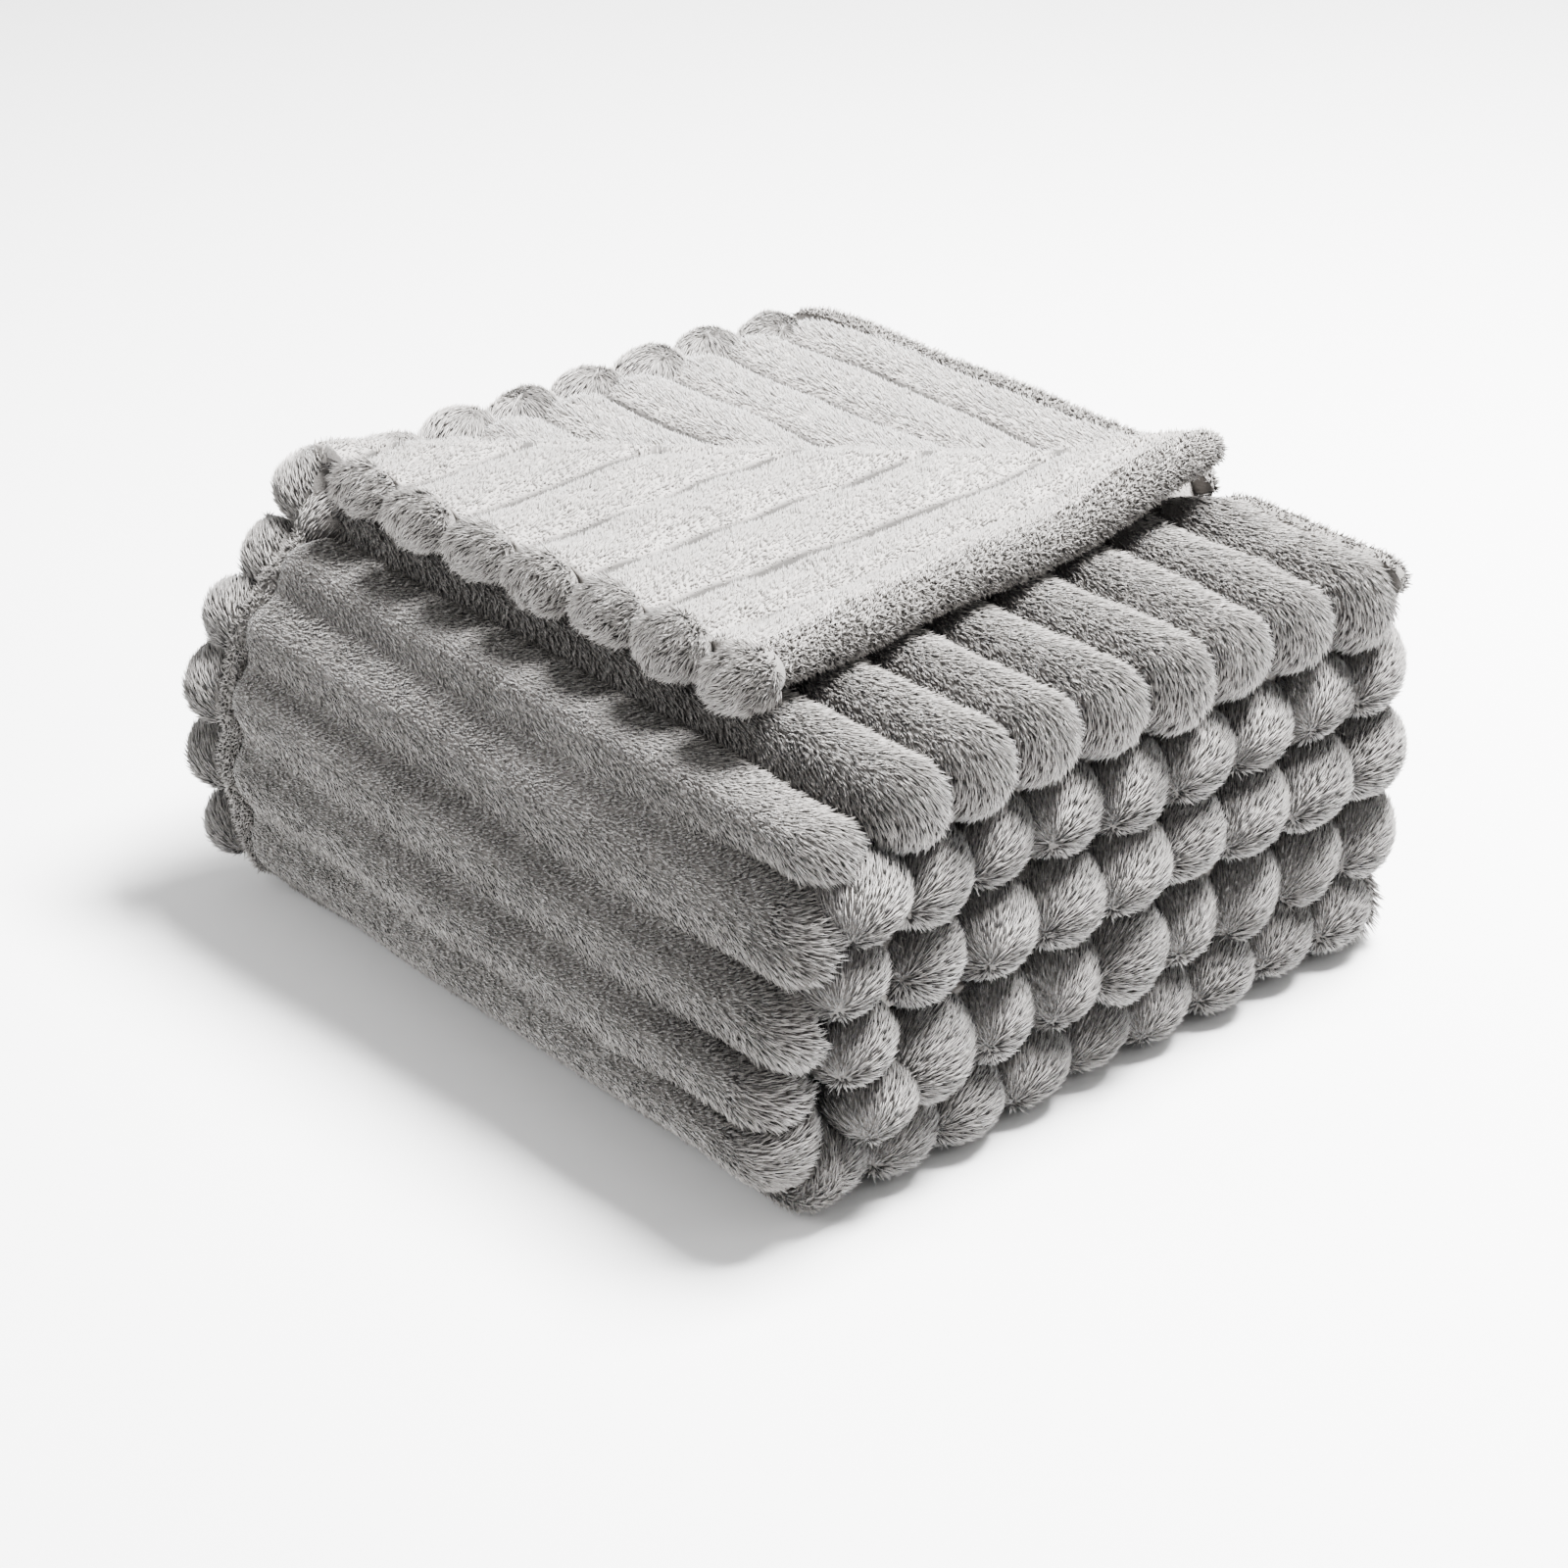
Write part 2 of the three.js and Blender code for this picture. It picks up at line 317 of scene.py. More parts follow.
def point_value(tree, name):
    """A value kept on the points of the piece."""
    node = tree.nodes.new("ShaderNodeAttribute")
    node.attribute_name = name
    return node.outputs["Fac"]


def times(tree, colour, factor):
    node = tree.nodes.new("ShaderNodeVectorMath")
    node.operation = "SCALE"
    tree.links.new(colour, node.inputs[0])
    tree.links.new(factor, node.inputs["Scale"])
    return node.outputs[0]


PATCHES = {"scale": 22.0, "detail": 4.0}  # the soft patches that mottle cloth and pile


def cloth_material(name, colour, grain, depth, sheen):
    """The cloth under the pile: mottled, with the fine grain of packed fibres and painted shade along the quilted
    seams.
    """
    material, shader = new_material(name)
    tree = material.node_tree
    patches = noise(tree, **PATCHES)
    fibres = noise(tree, grain, 3.0)
    tint = ramp(tree, patches.outputs["Fac"], [(0.3, shade(colour, 0.86)), (0.7, shade(colour, 1.06))])
    fine = scaled(tree, fibres.outputs["Fac"], 0.5, 0.75)
    # Painted shade in the grooves along the quilted seams.
    painted_seam_shade = scaled(tree, point_value(tree, "seam"), -0.75, 1.0)
    base = times(tree, tint.outputs["Color"], maths(tree, "MULTIPLY", fine, painted_seam_shade))
    tree.links.new(base, shader.inputs["Base Color"])
    bump = tree.nodes.new("ShaderNodeBump")
    bump.inputs["Strength"].default_value = 0.7
    bump.inputs["Distance"].default_value = depth
    tree.links.new(fibres.outputs["Fac"], bump.inputs["Height"])
    tree.links.new(bump.outputs["Normal"], shader.inputs["Normal"])
    shader.inputs["Sheen Weight"].default_value = sheen
    shader.inputs["Sheen Roughness"].default_value = 0.4
    return material


def pile_material(name, colour, root_shade, sheen, calm=False):
    """Tufts of pile: painted shade low on each tuft and a painted highlight at its tip, each a little different."""
    material, shader = new_material(name)
    tree = material.node_tree
    # The ramp along each tuft is painted shade low down and a painted highlight at the tip.
    along = ramp(tree, point_value(tree, "tip"), [(0.1, shade(colour, root_shade)), (0.85, shade(colour, 1.2))])
    patches = noise(tree, **PATCHES)
    mottle = scaled(tree, patches.outputs["Fac"], *((0.25, 0.88) if calm else (0.4, 0.8)))
    own_tone = scaled(tree, point_value(tree, "tone"), *((0.5, 0.5) if calm else (2.2, -1.1)))
    each = maths(tree, "MULTIPLY", mottle, own_tone)
    tree.links.new(times(tree, along.outputs["Color"], each), shader.inputs["Base Color"])
    shader.inputs["Roughness"].default_value = 0.5
    shader.inputs["Specular IOR Level"].default_value = 0.65
    shader.inputs["Sheen Weight"].default_value = sheen
    shader.inputs["Sheen Roughness"].default_value = 0.35
    return material


# ---------------------------------------------------------------- the pile, as a node tree

def add_input(tree, name, kind, default=None, low=None):
    socket = tree.interface.new_socket(name=name, in_out="INPUT", socket_type=kind)
    if default is not None:
        socket.default_value = default
    if low is not None:
        socket.min_value = low
    return socket


def pile_tree():
    """Sets tapered tufts on a cloth: as many, as long and lying as its points say."""
    tree = bpy.data.node_groups.new("Plush pile", "GeometryNodeTree")
    add_input(tree, "Geometry", "NodeSocketGeometry")
    add_input(tree, "Density", "NodeSocketFloat", 1.0e6, 0.0)
    add_input(tree, "Length", "NodeSocketFloat", 0.007, 0.0)
    add_input(tree, "Width", "NodeSocketFloat", 0.0005, 0.0)
    add_input(tree, "Lift", "NodeSocketFloat", 0.6, 0.0)
    add_input(tree, "Clumping", "NodeSocketFloat", 1.0, 0.0)
    add_input(tree, "Looseness", "NodeSocketFloat", 0.25, 0.0)
    add_input(tree, "Seed", "NodeSocketInt", 1)
    add_input(tree, "Material", "NodeSocketMaterial")
    tree.interface.new_socket(name="Geometry", in_out="OUTPUT", socket_type="NodeSocketGeometry")
    given = tree.nodes.new("NodeGroupInput").outputs
    link = tree.links.new

    def value(name, kind="FLOAT"):
        node = tree.nodes.new("GeometryNodeInputNamedAttribute")
        node.data_type = kind
        node.inputs["Name"].default_value = name
        return node.outputs["Attribute"]

    def arithmetic(operation, first, second):
        return maths(tree, operation, first, second)

    def vector(operation, first, second=None, scale=None):
        node = tree.nodes.new("ShaderNodeVectorMath")
        node.operation = operation
        link(first, node.inputs[0])
        if isinstance(second, tuple):
            node.inputs[1].default_value = second
        elif second is not None:
            link(second, node.inputs[1])
        if scale is not None:
            link(scale, node.inputs["Scale"])
        return node.outputs[0]

    def random_value(kind, low, high, offset):
        node = tree.nodes.new("FunctionNodeRandomValue")
        node.data_type = kind
        first = 0 if kind == "FLOAT_VECTOR" else 2
        node.inputs[first].default_value = low
        node.inputs[first + 1].default_value = high
        link(arithmetic("ADD", given["Seed"], offset), node.inputs["Seed"])
        return node.outputs[0 if kind == "FLOAT_VECTOR" else 1]

    scatter = tree.nodes.new("GeometryNodeDistributePointsOnFaces")
    link(given["Geometry"], scatter.inputs["Mesh"])
    link(arithmetic("MULTIPLY", given["Density"], value("pile")), scatter.inputs["Density"])
    link(given["Seed"], scatter.inputs["Seed"])

    clumps = tree.nodes.new("ShaderNodeTexNoise")
    clumps.inputs["Scale"].default_value = 160.0
    clumps.inputs["Detail"].default_value = 1.0
    swirl = vector("SUBTRACT", clumps.outputs["Color"], (0.5, 0.5, 0.5))
    swirl = vector("SCALE", swirl, scale=given["Clumping"])
    loose = random_value("FLOAT_VECTOR", (-1.0, -1.0, -1.0), (1.0, 1.0, 1.0), 1)
    loose = vector("SCALE", loose, scale=given["Looseness"])
    lifted = vector("SCALE", scatter.outputs["Normal"], scale=given["Lift"])
    way = vector("ADD", vector("ADD", lifted, value("comb", "FLOAT_VECTOR")), vector("ADD", swirl, loose))

    aim = tree.nodes.new("FunctionNodeAlignRotationToVector")
    aim.axis = "Z"
    link(vector("NORMALIZE", way), aim.inputs["Vector"])
    spin = tree.nodes.new("FunctionNodeRotateRotation")
    spin.rotation_space = "LOCAL"
    link(aim.outputs["Rotation"], spin.inputs["Rotation"])
    link(random_value("FLOAT_VECTOR", (0.0, 0.0, 0.0), (0.0, 0.0, 6.283), 2), spin.inputs["Rotate By"])

    tuft = tree.nodes.new("GeometryNodeMeshCone")
    tuft.fill_type = "NGON"
    tuft.inputs["Vertices"].default_value = 3
    tuft.inputs["Radius Top"].default_value = 0.0
    tuft.inputs["Radius Bottom"].default_value = 1.0
    tuft.inputs["Depth"].default_value = 1.0
    height = tree.nodes.new("ShaderNodeSeparateXYZ")
    link(tree.nodes.new("GeometryNodeInputPosition").outputs[0], height.inputs[0])
    tipped = tree.nodes.new("GeometryNodeStoreNamedAttribute")
    tipped.data_type = "FLOAT"
    tipped.domain = "POINT"
    tipped.inputs["Name"].default_value = "tip"
    link(tuft.outputs["Mesh"], tipped.inputs["Geometry"])
    link(height.outputs["Z"], tipped.inputs["Value"])

    size = tree.nodes.new("ShaderNodeCombineXYZ")
    wide = arithmetic("MULTIPLY", given["Width"], random_value("FLOAT", 0.7, 1.3, 3))
    long = arithmetic("MULTIPLY", given["Length"], random_value("FLOAT", 0.6, 1.1, 4))
    link(wide, size.inputs[0])
    link(wide, size.inputs[1])
    link(arithmetic("MULTIPLY", long, value("nap")), size.inputs[2])

    place = tree.nodes.new("GeometryNodeInstanceOnPoints")
    link(scatter.outputs["Points"], place.inputs["Points"])
    link(tipped.outputs["Geometry"], place.inputs["Instance"])
    link(spin.outputs["Rotation"], place.inputs["Rotation"])
    link(size.outputs[0], place.inputs["Scale"])
    toned = tree.nodes.new("GeometryNodeStoreNamedAttribute")
    toned.data_type = "FLOAT"
    toned.domain = "INSTANCE"
    toned.inputs["Name"].default_value = "tone"
    link(place.outputs["Instances"], toned.inputs["Geometry"])
    link(random_value("FLOAT", 0.8, 1.12, 5), toned.inputs["Value"])

    real = tree.nodes.new("GeometryNodeRealizeInstances")
    link(toned.outputs["Geometry"], real.inputs[0])
    soft = tree.nodes.new("GeometryNodeSetShadeSmooth")
    link(real.outputs[0], soft.inputs["Geometry"])
    coat = tree.nodes.new("GeometryNodeSetMaterial")
    link(soft.outputs["Geometry"], coat.inputs["Geometry"])
    link(given["Material"], coat.inputs["Material"])
    out = tree.nodes.new("NodeGroupOutput")
    link(coat.outputs["Geometry"], out.inputs[0])
    return tree


MAX_TUFTS = 48000  # in one piece of pile
FLOOR_GAP = 0.2


def grow_pile(piece, settings, kind, seed, density_share=1.0):
    """The pile of a cloth as plain meshes, in as many pieces as keep each one light."""
    tree = bpy.data.node_groups.get("Plush pile") or pile_tree()
    named = {item.name: item.identifier for item in tree.interface.items_tree if item.in_out == "INPUT"}
    look = PILES[kind]
    density = look["density"] * settings.pile_density * density_share * 1.0
    width = look["width"] * 1.0
    wanted = tufts_on(piece.data, density)
    parts = max(1, math.ceil(wanted / MAX_TUFTS))
    grown = []
    for part, mesh in enumerate(split_along_x(piece.data, parts)):
        carrier = bpy.data.objects.new("pile carrier", mesh)
        bpy.context.scene.collection.objects.link(carrier)
        modifier = carrier.modifiers.new("Pile", "NODES")
        modifier.node_group = tree
        given = {
            "Density": density / MM**2, "Length": look["length"] * settings.pile_length * MM, "Width": width * MM,
            "Lift": look["lift"], "Clumping": look["clumping"], "Looseness": look["looseness"],
            "Seed": seed * 10 + part, "Material": bpy.data.materials[look["material"]],
        }
        for label, value in given.items():
            modifier[named[label]] = value
        graph = bpy.context.evaluated_depsgraph_get()
        result = bpy.data.meshes.new_from_object(carrier.evaluated_get(graph))
        bpy.data.objects.remove(carrier)
        bpy.data.meshes.remove(mesh)
        name = f"{piece.name}_pile" if parts == 1 else f"{piece.name}_pile_{part + 1}"
        result.name = name
        lay_on_floor(result)
        tufts = bpy.data.objects.new(name, result)
        bpy.context.scene.collection.objects.link(tufts)
        grown.append(tufts)
    return grown


def read(items, field, width=1, kind=np.float32):
    """A value, or a row of values, for each item of a mesh."""
    values = np.zeros(len(items) * width, kind)
    items.foreach_get(field, values)
    return values.reshape(-1, width) if width > 1 else values


def lay_on_floor(mesh):
    """Tufts that would reach through the floor lie along it."""
    places = read(mesh.vertices, "co", 3)
    places[:, 2] = np.maximum(places[:, 2], FLOOR_GAP * MM)
    mesh.vertices.foreach_set("co", places.ravel())
    mesh.update()


def pile_by_face(mesh):
    """The corners of each face, and its area times the pile that grows on it."""
    pile = read(mesh.attributes["pile"].data, "value")
    corners = read(mesh.polygons, "vertices", 4, np.int32)
    return corners, read(mesh.polygons, "area") * pile[corners].mean(axis=1)


def tufts_on(mesh, density):
    """How many tufts a cloth takes at so many to a square mm."""
    return float(pile_by_face(mesh)[1].sum()) / MM**2 * density


def split_along_x(mesh, parts):
    """Copies of a mesh that each keep the pile on their own stretch along X."""
    places = read(mesh.vertices, "co", 3)
    corners, weight = pile_by_face(mesh)
    x = places[:, 0]
    order = np.argsort(x[corners].mean(axis=1), kind="stable")
    share = np.zeros(len(order))
    share[order] = np.cumsum(weight[order]) / max(weight.sum(), 1e-12)
    kept = (("pile", "FLOAT", "value", 1), ("nap", "FLOAT", "value", 1), ("comb", "FLOAT_VECTOR", "vector", 3))
    for part in range(parts):
        own = (share > part / parts) & (share <= (part + 1) / parts) if parts > 1 else share >= 0
        copy = bpy.data.meshes.new("pile ground")
        copy.from_pydata(places.tolist(), [], corners[own].tolist())
        for name, kind, field, width in kept:
            values = read(mesh.attributes[name].data, field, width)
            copy.attributes.new(name, kind, "POINT").data.foreach_set(field, values.ravel())
        yield copy


# What each kind of pile is like: its material, tufts to a square mm, their length and half width in mm,
# how steeply they stand, how they clump and how far they stray
PILE_VALUES = ("material", "density", "length", "width", "lift", "clumping", "looseness")
PILES = {kind: dict(zip(PILE_VALUES, values)) for kind, values in {
    "long": ("Plush pile", 0.68, 7.0, 0.52, 0.24, 0.55, 0.14),
    "ends": ("Deep pile", 0.78, 6.8, 0.48, 0.19, 0.4, 0.10),
    "short": ("Brushed nap", 0.62, 6.0, 0.55, 0.10, 0.5, 0.12),
    "woolly": ("Woolly pile", 1.0, 6.5, 0.48, 0.4, 2.0, 0.3),
    "curly": ("Curly nap", 0.85, 3.6, 0.54, 0.7, 2.2, 0.7),
}.items()}


# ---------------------------------------------------------------- finishing a piece

def lower_to_top(piece):
    """Bakes the place of a piece of the cloth that turns round the near side into its mesh."""
    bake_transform(piece)


def over_crease(piece):
    """Bakes the place of a piece of the fold of the turned corner into its mesh."""
    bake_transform(piece)


def press_down(parts, anchor, keep=0.5):
    """Gives each part of the cloth that the turned-back corner lies on its own copy of its mesh."""
    for part in parts:
        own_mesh(part)


def finish_cloth(piece, pile, body, stands_for, flat=None, area=None):
    """Says what a cloth and its pile ride on and stand for."""
    for part in (piece, *pile):
        if body == "both":
            lower_to_top(part)
        elif body == "crease":
            over_crease(part)
        else:
            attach(part, body)
    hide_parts(*stands_for)
    if flat is None:
        return
    area = None if area is None else area * MM**2


# ---------------------------------------------------------------- the outer cloth

def side_line(end):
    """The crown line of the outer cloth from the top round the near side, at the -X or +X end.

    Each row is a place counted in ribs, then y and z in mm.
    """
    if end == "start":
        side = [(-0.5, 26, -22), (-1.5, 2, -49), (-2.5, -11, -82), (-3.5, -14, -120), (-4.5, -6, -161)]
    else:
        side = [(-0.5, 20, -20), (-1.5, 4, -62), (-2.5, -5, -95), (-3.5, -15, -122), (-4.5, -16, -152)]
    rows = [(t, Y_RIBS + t * PITCH, TOP) for t in (8.0, 6.0, 4.0, 3.0, 2.0, 1.5)]
    rows += [(1.0, Y_RIBS + PITCH - 1, TOP - 1.0), (0.5, Y_RIBS + 0.5 * PITCH - 2, TOP - 4.5)]
    rows += [(0.0, Y_RIBS - 3, TOP - 12.0)]
    rows += [(t, Y_NEAR + y, TOP + z) for t, y, z in side]
    rows += [(-5.1, Y_NEAR + 5, 6.0), (-5.5, Y_NEAR + 22, 1.0), (-6.0, Y_RIBS - 4, 0.6), (-6.5, Y_RIBS + 16, 0.6)]
    return np.array(sorted(rows))


START_LINE = side_line("start")
END_LINE = side_line("end")
PILE_ROOM = 3.0  # how far the cloth lies below the tips of its pile


def crown(t, x):
    """Crown points and outward normals of the outer cloth, at ribs t and places x."""
    share = smooth((x + X_END) / (2 * X_END))[..., None]
    step = 0.02

    def line(at):
        at = np.clip(at, START_LINE[0, 0], START_LINE[-1, 0])
        return spline(START_LINE[:, 0], START_LINE[:, 1:], at) * (1 - share) + spline(
            END_LINE[:, 0], END_LINE[:, 1:], at) * share

    middle = line(t)
    along = line(t + step) - line(t - step)
    along /= np.maximum(np.linalg.norm(along, axis=-1, keepdims=True), 1e-9)
    normal = together(-along[..., 1], along[..., 0])
    return middle - normal * PILE_ROOM, normal


def outer_cloth(ts, stations, relief_of, seed):
    """A stretch of the ribbed outer cloth: (points, outward, comb, how far round the end).

    Stations along X are (x, radius, angle, ball): on a fold cap the angle runs from 90 degrees, on
    top, to below 0 or above 180, tucked in behind the end.
    """
    t = ts[:, None] * np.ones((1, len(stations)))
    x, radius, angle, ball = (np.array(column)[None, :] * np.ones((len(ts), 1)) for column in zip(*stations))
    middle, normal = crown(t, x)
    across = across_of(t)
    on_side = down_the_side(t) * (1 - ball)
    height = roundness(across) * (1 - on_side) + (0.5 + 0.5 * np.cos(math.pi * across)) * on_side
    relief = relief_of(t) * (1 - ball) + radius * 0.85 * ball
    jitter = uneven(ts, seed, 1.0)[:, None]
    deep = radius * (1 + 0.05 * jitter * ball) - relief * (1 - height)
    turn = np.radians(angle)
    out_x = np.cos(turn) * deep
    out_n = np.sin(turn) * deep - CAP
    by_hinge = (1 - smooth((np.abs(middle[..., 1] - HINGE) - 16) / 12)) * smooth((-1.0 - t) / 0.5)
    out_n = np.maximum(out_n, -2 * CAP + 23.0 * by_hinge)
    points = together(
        x + out_x + 1.5 * ball * jitter,
        middle[..., 0] + normal[..., 0] * out_n,
        middle[..., 1] + normal[..., 1] * out_n,
    )
    outward = together(np.cos(turn), np.sin(turn) * normal[..., 0], np.sin(turn) * normal[..., 1])
    points = points + outward * (waves(points, 110, seed + 1) * 1.6 * (1 - 0.6 * ball))[..., None]
    sideways = together(np.zeros_like(x), normal[..., 1], -normal[..., 0])
    flow = together(np.sin(turn), -np.cos(turn) * normal[..., 0], -np.cos(turn) * normal[..., 1])
    comb = flow * 0.75 + sideways * (across * 0.35)[..., None]
    return points, outward, comb


def smooth_run(first, last, count):
    return [first + (last - first) * i / (count - 1) for i in range(count)]


def gather_stations(start):
    """The cloth drawn in to the gathered seam of the end hem, then out to its full height."""
    depths = [(0, 9.0), (5, 8.0), (10, 7.5), (15, 6.0), (20, 3.0), (24, 1.0)]
    return [(start + along, CAP - depth, 90.0, 0.0) for along, depth in depths]


def fold_cap_stations(end):
    """Over the rounded ends of the ribs and in behind them."""
    centre = end - CAP - PILE_ROOM
    return [(centre, CAP, angle, 1.0) for angle in smooth_run(88, -75, 13)]


def long_stations(first, last, count, reach):
    """Along the ribs; the valleys deepen towards the end with balls, over that reach."""
    return [(x, CAP, 90.0, float(1 - smooth((last - x) / reach))) for x in smooth_run(first, last, count)]


def down_the_side(t):
    """From 0 for the ribs on top to 1 for those down the near side."""
    return smooth((0.2 - t) / 1.2)


def rib_relief(settings):
    def relief(t):
        on_side = down_the_side(t)
        return settings.rib_relief * (1 - on_side) + settings.side_relief * on_side
    return relief


def end_nap(points, least):
    """The length of the pile: short along the ribs and long round their ends."""
    return least + (1 - least) * smooth((points[..., 0] - X_END + 75) / 60)


def upright(points):
    """How freely pile can stand: none on what lies on the floor."""
    return smooth((points[..., 2] - 1.5) / 6.0)


# ---------------------------------------------------------------- settings

class ThrowBlanketSettings(bpy.types.PropertyGroup):
    colour: bpy.props.FloatVectorProperty(
        name="Colour", description="Colour of the plush", subtype="COLOR",
        default=(0.30, 0.285, 0.272), min=0.0, max=1.0)
    rib_relief: bpy.props.FloatProperty(
        name="Rib relief", description="How deep the valleys lie on top, in mm", default=12.0, min=1.0, max=16.0)
    side_relief: bpy.props.FloatProperty(
        name="Side relief", description="How deep the valleys lie on the side turn, in mm",
        default=6.0, min=1.0, max=16.0)
    pile_length: bpy.props.FloatProperty(
        name="Pile length", description="Times the natural length of the pile", subtype="FACTOR",
        default=1.0, min=0.2, max=2.0)
    pile_density: bpy.props.FloatProperty(
        name="Pile density", description="Times the natural density of the pile", subtype="FACTOR",
        default=1.0, min=0.05, max=1.5)
    corner_lift: bpy.props.FloatProperty(
        name="Corner lift", description="How high the tip of the turned corner stands off, in mm",
        default=12.0, min=0.0, max=16.0)


def settings_of(context):
    return context.scene.throw_blanket


# ---------------------------------------------------------------- operators

class THROW_OT_materials(bpy.types.Operator):
    """Makes the three kinds of cloth and the five kinds of pile"""
    bl_idname = "throw.materials"
    bl_label = "Plush materials"

    def execute(self, context):
        colour = tuple(settings_of(context).colour)

        def tinted(by):
            return tuple(channel * by for channel in colour)

        # The ribbed cloth and the hem cloth under the pile are tinted darker than their pile: painted shade between
        # the tufts.
        cloth_material("Ribbed cloth", tinted(0.55), 900.0, 0.0012, 0.2)
        cloth_material("Smooth cloth", tinted(1.3), 1100.0, 0.0004, 0.3)
        cloth_material("Hem cloth", tinted(0.75), 1300.0, 0.0008, 0.2)
        # The second number is the painted shade at the foot of each tuft; the deep pile on the fold ends and balls
        # has the most, as painted shade in the crevices between them.
        pile_material("Plush pile", tinted(1.14), 0.28, 0.4)
        pile_material("Deep pile", tinted(0.95), 0.14, 0.4)
        pile_material("Brushed nap", tinted(1.27), 0.75, 0.35, calm=True)
        pile_material("Woolly pile", tinted(1.25), 0.3, 0.3)
        pile_material("Curly nap", tinted(0.92), 0.5, 0.2)
        return {"FINISHED"}


class THROW_OT_top_cloth(bpy.types.Operator):
    """Makes the ribbed cloth on top, with its fold cap and the crease of the turned corner"""
    bl_idname = "throw.top_cloth"
    bl_label = "Top cloth"

    def execute(self, context):
        settings = settings_of(context)
        ts = rib_samples(0, RIBS, RIB_STEPS)
        last = X_END - CAP - 11
        stations = long_stations(-X_END + 2, last, 64, reach=150.0) + fold_cap_stations(X_END - 8)
        points, outward, comb = outer_cloth(ts, stations, rib_relief(settings), seed=11)
        crease_x = CREASE[0] + (points[..., 1] - CREASE[1])
        start = np.maximum(points[:, :1, 0], crease_x + 1.5)
        flat_part = points[..., 0] < last
        share = np.clip((points[..., 0] + X_END) / (last + X_END), 0, 1)
        squeezed = start + share * (last - start)
        points[..., 0] = np.where(flat_part, squeezed, points[..., 0])
        pile = upright(points) * under_corner(points)
        nap = end_nap(points, 0.85)
        piece = cloth_shell("top_ribbed_cloth", points, 6.0, outward, pile, nap, comb,
                            bpy.data.materials["Ribbed cloth"])
        grown = grow_pile(piece, settings, "long", 1)
        finish_cloth(piece, grown, "top_fold",
                     ["top_outer_ply_face", "top_outer_ply_backing", "top_fold_cap"],
                     flat=(RIBS * PITCH, RIB_LENGTH),
                     area=RIBS * PITCH * RIB_LENGTH - (Y_RIBS_END - CREASE[1]) ** 2 / 2)
        return {"FINISHED"}


def under_corner(points):
    """Thins the pile that the turned corner presses flat and hides."""
    x = points[..., 0]
    y = points[..., 1]
    edge = 12.0
    hidden = np.minimum(CORNER_X - edge - x, y - CREASE[1] - edge)
    return 1.0 - 0.85 * smooth(hidden / 10.0)


